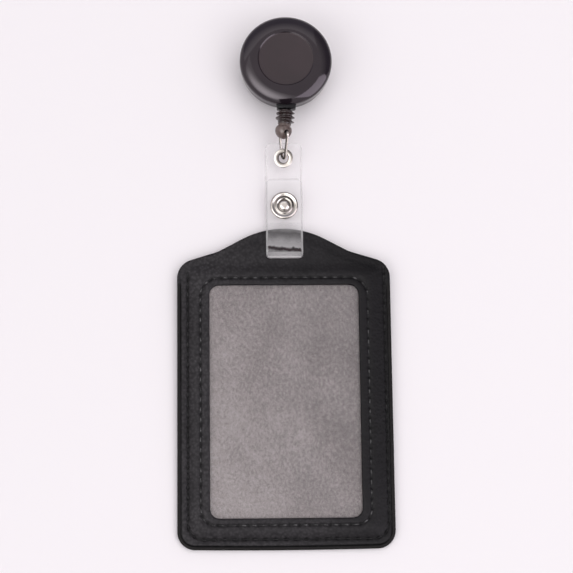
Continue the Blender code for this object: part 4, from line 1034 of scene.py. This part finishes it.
def edgeShade(piece, fromEnd, fromFold):
    # Keeps how far each point is from the long edges, the end and the fold, for the painted
    # highlight on the
    #  rim and the painted shade of the streak, and which side faces out.
    points = pointsOf(piece) / mm
    out = normalsOf(piece) * (0.0, -1.0, 1.0)
    putAttribute(piece, "outer", np.clip(out.sum(axis=1) * 3 + 0.5, 0.0, 1.0))
    fromEdge = strap["width"] / 2 - np.abs(points[:, 0] - strap["x"])
    for name, distance, most in (("fromEdge", fromEdge, 4), ("fromEnd", fromEnd(points), 6),
                                 ("fromFold", fromFold(points), 20)):
        putAttribute(piece, name, np.clip(distance, 0, most))


def strip(name, path, corner=(0.0, 0.0), pinch=(0.0, -1000.0)):
    shape = ribbon(path, strap["width"], strap["thickness"], strap["edge"], corner, pinch)
    return newPiece(name, shape, "clearVinyl", at(strap["x"], 0, 0))


def settled(piece, node, path, body=None):
    # Clear vinyl casts next to no shadow.
    piece.visible_shadow = False
    seated(piece, node, body)
    run = sum((b - a).length for a, b in zip(path, path[1:]))


def makeStrap():
    s = strap
    lower, lap, upper, bend = strapLines()
    tab = strip("strapTab", lower, (0.0, s["corner"]))
    tabTurn = Matrix.Rotation(s["tabSlope"] * deg, 4, "X")
    carved(tab, roundPin(s["eyeletHole"], 4.0, Matrix.Translation(jointAt["strap_swing"] / mm)
                         @ tabTurn), "tabHole")
    edgeShade(tab, lambda p: np.hypot(*(p[:, 1:] - lower[-1]).T), lambda p: np.full(len(p), 10.0))
    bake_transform(tab)
    settled(tab, "strap_tab", lower)

    pinch = (s["foldCorner"], foldY - s["foldRadius"] - 0.1)
    leg = strip("strapLeg", lap, pinch=pinch)
    edgeShade(leg, lambda p: np.full(len(p), 6.0), lambda p: np.full(len(p), 20.0))
    settled(leg, "strap_rear_leg", lap, "strap")

    flap = strip("strapFold", upper, (0.0, s["corner"]), pinch)
    carved(flap, roundPin(s["snapHole"], 9.0, legSnapPlace() @ at(0, 0, 2.5)), "snapHole")
    south = foldY - s["foldRadius"] - s["thickness"] / 2
    edgeShade(flap, lambda p: np.abs(p[:, 1] - upper[-1].x), lambda p: p[:, 1] - south)
    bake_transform(flap)
    settled(flap, "strap_flap", upper)


# Snap, eyelet and washer: pressed nickel, each turned about its own pin

snap = {
    "capRadius": 4.8, "capHeight": 1.0, "discRadius": 4.1, "disc": 0.35, "socketHeight": 1.0,
    "knob": 1.7, "knobHeight": 0.95, "shank": 0.9, "fromFold": 15.5, "steps": 96,
    "play": 0.2, "shankRise": 0.35, "web": 0.35, "cavityGap": 0.35,
    "capShape": ((0.0, 1.0), (0.10, 0.985), (0.2, 0.92), (0.29, 0.78), (0.36, 0.5), (0.40, 0.33),
                 (0.45, 0.32), (0.50, 0.47), (0.54, 0.57), (0.58, 0.55), (0.62, 0.38),
                 (0.67, 0.29), (0.73, 0.32), (0.80, 0.45), (0.86, 0.58), (0.91, 0.61),
                 (0.96, 0.5), (0.99, 0.33), (1.0, 0.15), (0.985, 0.03), (0.96, 0.0)),
    "capTarnishAndShade": ((2.0, 0.36, 0.95, 90, 0.3), (3.1, 0.62, 0.95, 50, 0.6),
                   (3.75, 0.14, 0.6, 30, 0.6), (4.62, 0.14, 0.7, 0, 0.3)),
}
eyelet = {
    "radius": 3.6, "hole": 1.65, "wall": 0.25, "flange": 0.28, "washer": 3.3,
    "washerThickness": 0.15, "washerPlay": 0.2, "roll": 2.3, "rollHeight": 0.14, "steps": 80,
    "tarnish": ((3.45, 0.24, 1.0, 225, 1.3), (3.2, 0.4, 1.0, 40, 2.0),
                (1.95, 0.35, 0.95, 150, 0.8)),
}


def legSnapPlace():
    # Where the snap goes through the lower leg, under the cap on the flap.
    slope, out = strap["rearSlope"] * deg, snap["fromFold"]
    foot = foldZ - strap["foldRadius"] / math.cos(slope)
    return (at(strap["x"], foldY + out, foot + out * math.tan(slope))
            @ Matrix.Rotation(slope, 4, "X"))


def splined(points):
    # A smooth line through points, for a pressed shape's profile.
    line, between = [], 4
    points = [Vector(p) for p in points]
    for i in range(len(points) - 1):
        a, b = points[max(i - 1, 0)], points[i]
        c, d = points[i + 1], points[min(i + 2, len(points) - 1)]
        for k in range(between):
            t = k / between
            line.append(0.5 * (2 * b + (c - a) * t + (2 * a - 5 * b + 4 * c - d) * t * t
                               + (3 * b - a - 3 * c + d) * t ** 3))
    return [tuple(p) for p in line] + [tuple(points[-1])]


def turnedNickel(name, corners, steps, place, body, node, ring=False):
    # A turned part whose profile corners (radius, height, fillet) are rounded.
    profile = filleted(corners, closed=ring, step=22.0) if len(corners[0]) == 3 else corners
    piece = newPiece(name, turned(profile, steps, ring), "polishedNickel", place, smooth=40.0)
    seated(piece, node, body)
    return piece


def tarnish(piece, place, rings):
    # Darkens round a turned part, as tarnish in its grooves and as painted shade on one side: each
    # ring has a
    #  radius, a half width, a depth of tone, the angle where it is darkest and how far it fades on
    #  the other side.
    points = pointsOf(piece) / mm
    local = np.array(place.inverted()) @ np.vstack([points.T, np.ones(len(points))])
    radius, angle = np.hypot(local[0], local[1]), np.arctan2(local[1], local[0])
    shares = [tone * np.exp(-((radius - middle) / wide) ** 2)
              * (1 - fade * (0.5 - 0.5 * np.cos(angle - turn * deg)))
              for middle, wide, tone, turn, fade in rings]
    putAttribute(piece, "tarnish", np.max(shares, axis=0))


def makeSnap():
    n = snap
    shank, disc, reach, steps = n["shank"], n["disc"], n["discRadius"], n["steps"]
    bore = shank + n["play"]
    legPlace = legSnapPlace()
    flapPlace = at(strap["x"], foldY + n["fromFold"], foldZ + strap["foldRadius"])
    foot = metalAt + disc
    shankTop, top = foot + n["shankRise"], foot + n["knobHeight"]
    turnedNickel("snapPost", [
        (0.0, shankTop, 0), (shank, shankTop, 0.1), (shank, -metalAt, 0.1),
        (reach, -metalAt, 0.08), (reach, -foot, 0.16), (0.0, -foot, 0)],
        steps, legPlace, "strap", "snap_post")
    turnedNickel("snapStud", [
        (0.0, top, 0), (n["knob"], top, 0.3), (n["knob"] - 0.2, foot, 0.15), (reach, foot, 0.14),
        (reach, metalAt, 0.14), (bore, metalAt, 0.05), (bore, shankTop + n["play"], 0.05),
        (0.0, shankTop + n["play"], 0)], steps, legPlace, "strap", "snap_stud")
    low, web = -metalAt - n["socketHeight"], -metalAt - n["web"]
    cavity = n["knob"] + n["cavityGap"]
    turnedNickel("snapSocket", [
        (bore, -metalAt, 0.05), (reach, -metalAt, 0.15), (reach, low, 0.3), (cavity, low, 0.1),
        (cavity, web, 0.1), (bore, web, 0.05)], steps, flapPlace, "flap", "snap_socket", ring=True)
    cap = [(n["capRadius"] * r, metalAt + n["capHeight"] * h) for r, h in n["capShape"]]
    cap = splined(cap) + [(shank, metalAt), (shank, web), (0.0, web)]
    piece = turnedNickel("snapCap", cap, steps, flapPlace, "flap", "snap_cap")
    tarnish(piece, flapPlace, n["capTarnishAndShade"])


def makeEyelet():
    e = eyelet
    place = (Matrix.Translation(jointAt["strap_swing"] / mm)
             @ Matrix.Rotation(strap["tabSlope"] * deg, 4, "X"))
    hole, wall, reach, under = e["hole"], e["wall"], e["radius"], -metalAt - e["washerThickness"]
    barrel, top, rollTop = hole + wall, metalAt + e["flange"], under - 0.1
    rollLow, inner = rollTop - e["rollHeight"], barrel + e["washerPlay"]
    piece = turnedNickel("strapEyelet", [
        (hole, rollTop, 0.1), (hole, metalAt, 0.25), (hole + wall * 1.2, top, 0.25),
        (reach - 0.5, top, 0.4), (reach, metalAt, 0.12), (barrel, metalAt, 0.02),
        (barrel, rollTop, 0.02), (e["roll"], rollTop, 0.05), (e["roll"] - 0.05, rollLow, 0.06),
        (barrel, rollLow, 0.06)], e["steps"], place, "tab", "strap_eyelet", ring=True)
    tarnish(piece, place, e["tarnish"])
    turnedNickel("eyeletWasher", [
        (inner, -metalAt, 0.03), (e["washer"], -metalAt, 0.06), (e["washer"], under, 0.06),
        (inner, under, 0.03)], e["steps"], place, "tab", "eyelet_washer", ring=True)


# Wire link and the ribbed cord end with its ball

link = {"wire": 0.5, "length": 9.6, "ballHalf": 3.62, "eyeletHalf": 1.85, "corner": 0.8,
        "slope": 26.0, "roll": 20.0}
boot = {"ball": 2.9, "eye": 0.85, "length": 7.2, "core": 2.3, "ribRise": 1.0, "ribPitch": 1.64,
        "ribsFrom": 2.75, "ribsTo": 6.8, "ribSharp": 1.3, "ribFade": 0.5, "bore": 0.65,
        "boreDepth": 3.6, "steps": 96}
ballAt = jointAt["link_swing"] / mm


def linkTurn():
    down = Vector((0, -math.cos(link["slope"] * deg), -math.sin(link["slope"] * deg)))
    upright = Vector((0, -math.sin(link["slope"] * deg), math.cos(link["slope"] * deg)))
    return along(Matrix.Rotation(-link["roll"] * deg, 3, down) @ upright, down)


def makeLink():
    k = link
    wide, end, corner = k["ballHalf"], k["eyeletHalf"], k["corner"]
    far = k["length"] - end
    tilt = math.atan2(wide - end, far - corner)
    upper = []
    for i in range(8):
        angle = math.pi - (math.pi / 2 + tilt) * i / 7
        upper.append((corner + corner * math.cos(angle), wide - corner + corner * math.sin(angle)))
    first = Vector(upper[-1])
    last = Vector((far + end * math.sin(tilt), end * math.cos(tilt)))
    upper += [tuple(first.lerp(last, i / 12)) for i in range(1, 12)]
    for i in range(13):
        angle = (math.pi / 2 - tilt) * (1 - i / 12)
        upper.append((far + end * math.cos(angle), end * math.sin(angle)))
    line = upper + [(x, -y) for x, y in reversed(upper[:-1])]
    place = Matrix.Translation(ballAt) @ linkTurn()
    piece = newPiece("wireLink", tubeAlong([(x, 0, y) for x, y in line], k["wire"], 16, True),
                     "polishedNickel", place, smooth=60.0)
    # Painted shade: the wire is darkened on its side that faces -X.
    putAttribute(piece, "tarnish", smoothShare(0.4 - normalsOf(piece)[:, 0] * 1.5) * 0.9)
    seated(piece, "wire_link", "link")


def ribTree():
    # Raises a wound rib out of a turned core: its height follows angle and length.
    t = Growth("woundRibs", ("Rise", "Pitch", "From", "To", "Fade", "Sharpness"))
    g = t.given
    here = t.node("GeometryNodeInputPosition")[0]
    x, y, z = t.node("ShaderNodeSeparateXYZ", None, {"Vector": here})
    turns = y.maths("ARCTAN2", x) / math.tau
    wave = ((z / g["Pitch"] - turns) * math.tau).maths("COSINE")
    rise = ((wave + 1.0) * 0.5) ** g["Sharpness"] * g["Rise"]
    for past in (z - g["From"], g["To"] - z):
        rise = rise * t.node("ShaderNodeMapRange", {"interpolation_type": "SMOOTHSTEP"},
                             {"Value": past / g["Fade"]})[0]
    outward = t.node("ShaderNodeCombineXYZ", None, {"X": x, "Y": y})[0]
    outward = t.node("ShaderNodeVectorMath", {"operation": "NORMALIZE"}, {0: outward})[0]
    shift = t.node("ShaderNodeVectorMath", {"operation": "SCALE"},
                   {0: outward, "Scale": rise})[0]
    return t.end(t.node("GeometryNodeSetPosition", None,
                        {"Geometry": g["Geometry"], "Offset": shift})[0])


def bootPlace():
    mouth = Vector((reel["x"], guideFace() - 0.2, reel["cordAt"]))
    return Matrix.Translation(ballAt) @ along(mouth - ballAt, (1, 0, 0))


def makeBoot():
    b = boot
    profile = [(b["ball"] * math.sin(a * deg), -b["ball"] * math.cos(a * deg))
               for a in range(0, 120, 6)]
    neckLow = profile[-1]
    profile += [(b["core"] - 0.25, neckLow[1] + 0.55), (b["core"] - 0.12, neckLow[1] + 0.9)]
    height = profile[-1][1]
    while height < b["length"] - 0.35:
        height += 0.07
        profile.append((b["core"], height))
    top, floor = b["length"], b["length"] - b["boreDepth"]
    profile += [(b["core"] - 0.05, top - 0.15), (b["core"] - 0.2, top), (b["bore"] + 0.15, top),
                (b["bore"], top - 0.15), (b["bore"], floor), (0.0, floor)]
    piece = newPiece("cordBoot", turned(profile, b["steps"]), "rubberyPlastic", smooth=50.0)
    grown(piece, ribTree(), {
        "Rise": b["ribRise"] * mm, "Pitch": b["ribPitch"] * mm, "From": b["ribsFrom"] * mm,
        "To": b["ribsTo"] * mm, "Fade": b["ribFade"] * mm, "Sharpness": b["ribSharp"],
        "Material": finishes["rubberyPlastic"].material})
    moved(piece, bootPlace())
    eye = Matrix.Translation(ballAt) @ linkTurn()
    carved(piece, roundPin(b["eye"], 8.0, eye), "ballEye")
    fromBall = np.linalg.norm(pointsOf(piece) / mm - ballAt, axis=1)
    putAttribute(piece, "onBall", 1 - smoothShare((fromBall - b["ball"] - 0.1) / 0.4))
    seated(piece, "cord_end_boot", "cord_end")
    print("boot with wound ribs")


# Reel: two glossy smoky shells round the spool, a cord guide and a belt clip

reel = {
    "radius": 16.0, "x": 1.4, "backHeight": 5.1, "thickness": 8.4, "parting": 3.4,
    "domeWidth": 5.8, "domeHeight": 2.8, "chamfer": 1.0, "backEdge": 0.8, "backStep": 0.3,
    "wall": 1.2, "face": 1.5, "fit": 0.1,
    "recess": 9.7, "recessDepth": 0.4, "recessSlope": 0.35, "steps": 200,
    "guideWidth": 6.6, "guideProud": 1.2, "guideHeight": 3.6, "guideBore": 0.8,
    "guideFlare": 1.45, "flareDepth": 1.6, "guideEdge": 0.55, "cordAt": 9.15, "cord": 0.4,
    "cordBlend": 1.2,
}
clip = {"width": 10.0, "thickness": 0.8, "gap": 3.4, "south": 9.0, "north": 11.0, "arm": 22.0,
        "edge": 0.12, "fit": 0.1, "rivet": 1.1, "rivetPlay": 0.2, "rivetLength": 4.4,
        "head": 2.3, "headHeight": 0.5}
reelY = jointAt["spool_spin"].y / mm


def guideFace():
    return reelY - reel["radius"] - reel["guideProud"]


def guideBox():
    # The opening that the covers leave round the cord guide.
    r = reel
    outer, inner, fit = r["radius"] + 1.0, r["radius"] - 3.2, r["fit"]
    size = (r["guideWidth"] + 2 * fit, outer - inner, r["guideHeight"] + 2 * fit)
    return boxed(size, at(r["x"], reelY - (outer + inner) / 2, r["cordAt"]))


def makeReel():
    r = reel
    top, part = r["backHeight"] + r["thickness"], r["backHeight"] + r["parting"]
    face, ceiling, bore = top - r["recessDepth"], top - r["face"], r["radius"] - r["wall"]
    place = at(r["x"], reelY, 0)
    wide, high, chamfer = r["domeWidth"], r["domeHeight"], r["chamfer"]
    dome = [(r["radius"] - wide * (1 - math.sin(a * deg)), top - high * (1 - math.cos(a * deg)))
            for a in range(0, 91, 5)]
    profile = filleted([(0.0, face, 0), (r["recess"] - r["recessSlope"], face, 0.12),
                        (r["recess"] + 0.1, top, 0.12), dome[0] + (0,)], closed=False, step=15.0)
    profile += dome[1:] + filleted(
        [(r["radius"], top - high - 0.02, 0), (r["radius"], part + 0.1, 0.12),
         (bore, part + 0.1, 0.08), (bore, ceiling - chamfer, 0), (bore - chamfer, ceiling, 0),
         (0.0, ceiling, 0)], closed=False, step=20.0)
    front = newPiece("reelFrontShell", turned(profile, r["steps"]), "smokyShell", place, smooth=50)
    carved(front, guideBox(), "frontNotch")
    middle = pointsOf(front)[:, :2] / mm - (r["x"], reelY)
    putAttribute(front, "inDisc", np.hypot(*middle.T) < r["recess"] - 0.1)
    seated(front, "reel_front_cover", "reel")

    outer, low = r["radius"] - r["backStep"], r["backHeight"]
    lip, floor, post = bore - 0.2, low + r["wall"], ceiling - 0.3
    profile = filleted([
        (0.0, post, 0), (2.4, post, 0.2), (2.4, floor, 0.3), (lip - 0.7, floor, 0.3),
        (lip - 0.7, part + 1.6, 0.1), (lip, part + 1.6, 0.1), (lip, part, 0.05),
        (outer, part, 0.1), (outer, low, r["backEdge"]), (0.0, low, 0)], closed=False, step=12.0)
    back = newPiece("reelBackShell", turned(profile, r["steps"]), "smokyShell", place, smooth=50)
    carved(back, guideBox(), "backNotch")
    hole = roundPin(clip["rivet"] + clip["rivetPlay"], 6.0, at(r["x"], reelY, low))
    carved(back, hole, "rivetHole")
    seated(back, "reel_back_cover", "reel")


def makeGuideAndCord():
    r = reel
    outer, inner = r["radius"] + r["guideProud"], r["radius"] - r["wall"] - 1.0
    southward = Matrix.Rotation(90 * deg, 4, "X")
    middle = at(r["x"], reelY - (outer + inner) / 2, r["cordAt"])
    bm = boxed((r["guideWidth"], outer - inner, r["guideHeight"]), middle)
    guide = newPiece("cordGuide", bm, "blackPlastic")
    edge = guide.modifiers.new("edges", "BEVEL")
    edge.width, edge.segments, edge.limit_method = r["guideEdge"] * mm, 4, "ANGLE"
    applied(guide)
    carved(guide, roundPin(r["guideBore"], 12.0, middle @ southward), "guideBore")
    bore, flare = r["guideBore"], r["guideFlare"]
    for y, near, far in ((outer, bore, flare), (inner, flare, bore)):
        place = at(r["x"], reelY - y, r["cordAt"]) @ southward
        carved(guide, cone(near, far, r["flareDepth"], place, 48), "guideMouth")
    seated(guide, "cord_guide", "reel")

    low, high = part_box("cord_run")
    low, high = Vector(low) / mm, Vector(high) / mm
    mouth = Vector((r["x"], guideFace(), r["cordAt"]))
    inside = mouth - Vector((0, 1.3, 0))
    leave = Vector((low.x + 0.4, high.y - 0.3, high.z - 0.4))
    turn = Vector((r["x"], reelY - inner + 0.3, r["cordAt"]))
    line = [leave.lerp(turn, k / 16) for k in range(16)]
    for k, point in enumerate(line):
        point.z = leave.z + (turn.z - leave.z) * float(smoothShare(k / 15))
    line += [turn.lerp(mouth, k / 24) for k in range(24)]
    line += [mouth.lerp(inside, k / 8) for k in range(9)]
    cord = newPiece("drawnCord", tubeAlong(line, r["cord"], 12), "braidedCord", smooth=60.0)
    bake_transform(cord)
    seated(cord, "cord_run")


def makeClip():
    c, r = clip, reel
    plateTop = r["backHeight"] - c["fit"]
    low, middle = plateTop - c["thickness"], plateTop - c["thickness"] / 2
    bend = (c["gap"] + c["thickness"]) / 2

    def sprung(name, path):
        shape = ribbon(path, c["width"], c["thickness"], c["edge"])
        return newPiece(name, shape, "springSteel", at(r["x"], 0, 0))

    start = Vector((reelY - c["south"], middle))
    north = Vector((reelY + c["north"], middle))
    plate = sprung("clipPlate", [start] + straight(start, north, 0.8))
    hole = roundPin(c["rivet"] + c["rivetPlay"], 3.0, at(r["x"], reelY, middle))
    carved(plate, hole, "plateHole")
    seated(plate, "clip_plate", "reel")

    first = north + Vector((0.2, 0))
    path = [first] + arcTurned(first, Vector((1, 0)), bend, -math.pi, 0.3)
    path += straight(path[-1], Vector((first.x - c["arm"], middle - 2 * bend)), 0.8)
    seated(sprung("clipArm", path), "clip_arm", "clip")

    top, under = low + c["rivetLength"], low - c["fit"]
    head = under - c["headHeight"]
    turnedNickel("clipRivet", [
        (0.0, top, 0), (c["rivet"], top, 0.15), (c["rivet"], under, 0.05),
        (c["head"], under, 0.08), (c["head"] - 0.25, head, 0.3), (0.0, head, 0)],
        64, at(r["x"], reelY, 0), "reel", "clip_rivet")


# Finishes, each with the grain, wear and change of tone of the real one, and with painted light,
# shade and highlights on some of them

def makeFinishes():
    leather = Finish("grainedLeather", Metallic=0.0, Specular_IOR_Level=0.12)
    grain = leather.cells(1150, "SMOOTH_F1")
    fine = leather.cells(2300, "F1")
    soft = leather.noise(90, 4.0)
    pebbles = leather.ramp(grain, [(0.0, 1.0), (0.55, 0.35), (1.0, 0.0)])
    # Painted light: the leather's colour runs from lighter on the left to darker on the right, and
    # is lighter low down near its foot; a noise shares out worn and fresh tones on top.
    x, y = leather.axes()[:2]
    foot = leather.ramp(y * -10.0, [(0.70, 0.0), (0.85, 1.0)])
    across = x * 13.7 + 0.46 - foot * 0.3
    dullWithPaintedLight = leather.ramp(across, [(0.1, (0.029, 0.026, 0.029)), (0.9, (0.001, 0.001, 0.001))])
    freshWithPaintedLight = leather.ramp(across, [(0.1, (0.043, 0.039, 0.043)), (0.9, (0.004, 0.003, 0.004))])
    wearAndPaintedLight = leather.blendColour(leather.ramp(soft, [(0.35, 0.0), (0.7, 1.0)]), dullWithPaintedLight, freshWithPaintedLight)
    dark = leather.blendColour(pebbles, (0.006, 0.005, 0.006), wearAndPaintedLight)
    dark = leather.blendColour(leather.attribute("band"), dark, (0.005, 0.004, 0.004))
    # Painted shade: in the crease, pits and seams the colour goes near black.
    leather.use("Base Color", leather.blendColour(leather.attribute("sunk"), dark,
                                                  (0.002, 0.002, 0.002)))
    leather.use("Roughness", leather.noise(300, 3.0) * 0.2 + 0.42)
    first = leather.bump(pebbles, 0.00014, 0.85)
    leather.bump(fine, 0.00003, 0.4, under=first)

    suede = Finish("brushedSuede", Roughness=0.95, Metallic=0.0, Sheen_Weight=0.35,
                   Sheen_Roughness=0.6, Specular_IOR_Level=0.15)
    broad = suede.noise(70, 4.0, 0.6)
    streak = suede.noise(1100, 5.0, 0.8, at=suede.place((1.0, 0.7, 1.0), (0, 0, 0.6)))
    speck = suede.noise(2400, 4.0, 0.85)
    x, y = suede.axes()[:2]
    # Painted light: the lining's colour is lighter towards its lower left.
    tone = broad * 0.24 + streak * 0.58 + speck * 0.40 + (x * -2.7 + y * -0.9) - 0.136
    suede.use("Base Color", suede.ramp(tone, [(0.40, (0.110, 0.090, 0.090)),
                                              (0.50, (0.195, 0.164, 0.165)),
                                              (0.60, (0.285, 0.248, 0.248)),
                                              (0.70, (0.365, 0.325, 0.325))]))
    suede.bump(streak * 0.6 + speck * 0.4, 0.00012, 0.6)

    film = Finish("clearFilm", Base_Color=(0.85, 0.85, 0.86), Metallic=0.0, IOR=1.45)
    film.use("Alpha", film.noise(60, 2.0) * 0.03 + 0.03)
    film.use("Roughness", film.noise(140, 3.0) * 0.12 + 0.06)

    vinyl = Finish("clearVinyl", Metallic=0.0, IOR=1.5)
    rim, end, fold = (vinyl.attribute(name) for name in ("fromEdge", "fromEnd", "fromFold"))
    # Painted highlight: the strap's long edges and its end get a greyer, less clear colour and more
    # alpha.
    nearRim = vinyl.ramp(rim * 0.25, [(0.0, 1.0), (0.12, 0.8), (0.22, 0.1), (0.3, 0.0)])
    nearEnd = vinyl.ramp(end * 0.18, [(0.0, 0.9), (0.10, 0.6), (0.2, 0.0)])
    edges = nearRim.maths("MAXIMUM", nearEnd)
    wander = vinyl.noise(420, 4.0, 0.75, at=vinyl.place((1.0, 0.3, 1.0)))
    lean = vinyl.axes()[0] * 8.0
    inward = vinyl.ramp(fold * 0.1, [(0.06, 0.0), (0.14, 1.0)])
    folded = (fold + (wander - 0.5) * (inward * 2.6 + 0.4)) * 0.1 + lean * inward
    # Painted reflection: the alpha, and with it the strap's brightness over the leather, is set by
    # the distance from the fold: a bright fold edge, then a sheen that fades up the strap.
    haze = vinyl.ramp(folded, [(0.0, 0.62), (0.035, 0.55), (0.06, 0.14), (0.08, 0.14), (0.10, 0.19),
                               (0.18, 0.17), (0.22, 0.11), (0.29, 0.10), (0.35, 0.34), (0.55, 0.27),
                               (0.70, 0.15), (0.84, 0.08), (0.91, 0.16), (1.0, 0.20)])
    # Painted light: beyond the fold the strap turns milky, lifting the table's shade beneath it.
    haze = haze.maths("MAXIMUM", vinyl.ramp(fold * 0.05, [(0.52, 0.0), (0.60, 0.36)]))
    # Painted shade: a dark streak where the slot shows through the strap.
    streak = vinyl.ramp(folded, [(0.20, 0.0), (0.22, 1.0), (0.29, 1.0), (0.32, 0.0)])
    streak = streak * (1.0 - edges)
    rimHazeAndHighlight = vinyl.ramp(fold * 0.1, [(0.0, 0.62), (0.9, 0.62), (1.0, 0.42)])
    clear = vinyl.ramp(edges, [(0.2, (0.93, 0.90, 0.92)), (0.9, (0.58, 0.57, 0.58))])
    vinyl.use("Base Color", vinyl.blendColour(streak, clear, (0.10, 0.035, 0.04)))
    vinyl.use("Alpha", haze.maths("MAXIMUM", edges * rimHazeAndHighlight) * vinyl.attribute("outer"))
    vinyl.use("Roughness", vinyl.noise(220, 3.0) * 0.14 + 0.06)
    vinyl.bump(vinyl.noise(160, 2.0), 0.0002, 0.25)

    nickel = Finish("polishedNickel", Metallic=1.0)
    bright = nickel.tones(nickel.noise(500), (0.56, 0.51, 0.475), (0.68, 0.635, 0.59))
    # Tarnish in the grooves, and painted shade on one side, darken the nickel.
    nickel.use("Base Color", nickel.blendColour(nickel.attribute("tarnish"), bright,
                                                (0.020, 0.013, 0.011)))
    rub = nickel.noise(2600, 4.0, 0.7, at=nickel.place((1.0, 0.2, 1.0), (0, 0, 0.4)))
    nickel.use("Roughness", rub * 0.16 + 0.10)
    nickel.bump(rub, 0.00001, 0.3)

    shell = Finish("smokyShell", Metallic=0.0, IOR=1.5, Coat_Roughness=0.04,
                   Specular_Tint=(1.0, 0.90, 0.96))
    disc = shell.attribute("inDisc")
    haze = shell.noise(120)
    rim = shell.tones(haze, (0.008, 0.005, 0.008), (0.012, 0.008, 0.011))
    plate = shell.tones(haze, (0.011, 0.006, 0.006), (0.016, 0.008, 0.009))
    shell.use("Base Color", shell.blendColour(disc, rim, plate))
    shell.use("Roughness", shell.noise(1500, 5.0, 0.7) * 0.06 + 0.06 + disc * 0.3)
    shell.use("Coat Weight", haze * 0.1 * (1.0 - disc))
    shell.bump(shell.noise(45, 2.0), 0.0002, 0.08)

    black = Finish("blackPlastic", Metallic=0.0, Specular_IOR_Level=0.2)
    black.use("Base Color", black.tones(black.noise(400), (0.005, 0.005, 0.006),
                                        (0.009, 0.008, 0.010)))
    black.use("Roughness", black.noise(1500, 4.0) * 0.1 + 0.2)

    rubbery = Finish("rubberyPlastic", Metallic=0.0)
    mottle = rubbery.noise(700, 4.0)
    sleeve = rubbery.tones(mottle, (0.018, 0.011, 0.011), (0.042, 0.027, 0.026))
    knob = rubbery.tones(mottle, (0.070, 0.047, 0.043), (0.150, 0.108, 0.100))
    rubbery.use("Base Color", rubbery.blendColour(rubbery.attribute("onBall"), sleeve, knob))
    rubbery.use("Roughness", mottle * 0.15 + 0.14)
    rubbery.bump(rubbery.noise(3000, 2.0), 0.00003, 0.3)

    steel = Finish("springSteel", Metallic=1.0)
    brushed = steel.noise(900, 4.0, 0.6, at=steel.place((1.0, 0.06, 1.0)))
    steel.use("Base Color", steel.tones(brushed, (0.36, 0.36, 0.37), (0.50, 0.50, 0.51)))
    steel.use("Roughness", brushed * 0.2 + 0.22)
    steel.bump(brushed, 0.00002, 0.4)

    braid = Finish("braidedCord", Metallic=0.0)
    weave = braid.weave(900.0, 1.5)
    braid.use("Base Color", braid.blendColour(weave, (0.010, 0.010, 0.011), (0.034, 0.032, 0.034)))
    braid.use("Roughness", weave * 0.15 + 0.6)
    braid.bump(weave, 0.00005, 0.7)

    for name, glint, shine in (("sewingThread", 0.035, 0.08), ("shinyThread", 0.12, 0.16)):
        thread = Finish(name, Metallic=0.0, Specular_IOR_Level=shine)
        ply = thread.weave(1400.0, 0.6)
        glintBreakup = thread.noise(260, 5.0, 0.8)
        # Painted highlight: near one end of each stitch the colour is lifted to a light fleck,
        # broken up by a noise, for the thread's glint.
        end = thread.ramp(thread.attribute("along"), [(0.30, 0.0), (0.50, 0.8), (0.78, 1.0),
                                                      (0.90, 0.0)])
        end = end * thread.ramp(glintBreakup, [(0.42, 0.08), (0.62, 1.0)])
        dark = thread.blendColour(ply, (0.004, 0.004, 0.004), (0.014, 0.013, 0.014))
        thread.use("Base Color", thread.blendColour(end, dark, (glint, glint * 0.97, glint)))
        thread.use("Roughness", ply * 0.15 + 0.34)
        thread.bump(ply, 0.00003, 0.5)

    nylon = Finish("darkNylon", Metallic=0.0)
    speck = nylon.noise(1200)
    nylon.use("Base Color", nylon.tones(speck, (0.028, 0.026, 0.027), (0.045, 0.040, 0.042)))
    nylon.use("Roughness", speck * 0.2 + 0.35)

    board = Finish("greyBoard", Metallic=0.0)
    fibre = board.noise(1500, 5.0, 0.8, at=board.place((1.0, 0.3, 1.0)))
    board.use("Base Color", board.tones(fibre, (0.24, 0.23, 0.22), (0.34, 0.33, 0.31)))
    board.use("Roughness", fibre * 0.1 + 0.85)
    board.bump(fibre, 0.00005, 0.5)


makeFinishes()
print("finishes")
makePanels()
makePocket()
print("leather, lining and film")
seamTree = stitchTree()
makeStitches(seamTree, "windowStitches", windowSeam(), True, "window_seam_thread",
             "shinyThread", 0)
makeStitches(seamTree, "outerStitches", outerSeam(), False, "outer_seam_thread", "sewingThread", 1)
makeStrap()
print("clear strap")
makeSnap()
makeEyelet()
makeLink()
print("snap, eyelet and link")
makeBoot()
makeReel()
makeGuideAndCord()
makeClip()
# The solids inside the reel and the board keep their shapes, and get a finish.
for node, finish in (("spool", "darkNylon"), ("power_spring", "springSteel"),
                     ("cord_inner_turns", "braidedCord"), ("cord_outer_turns", "braidedCord"),
                     ("back_stiffener", "greyBoard")):
    materials = frame["nodes"][node].data.materials
    materials.clear()
    materials.append(finishes[finish].material)
print("reel, cord and clip")
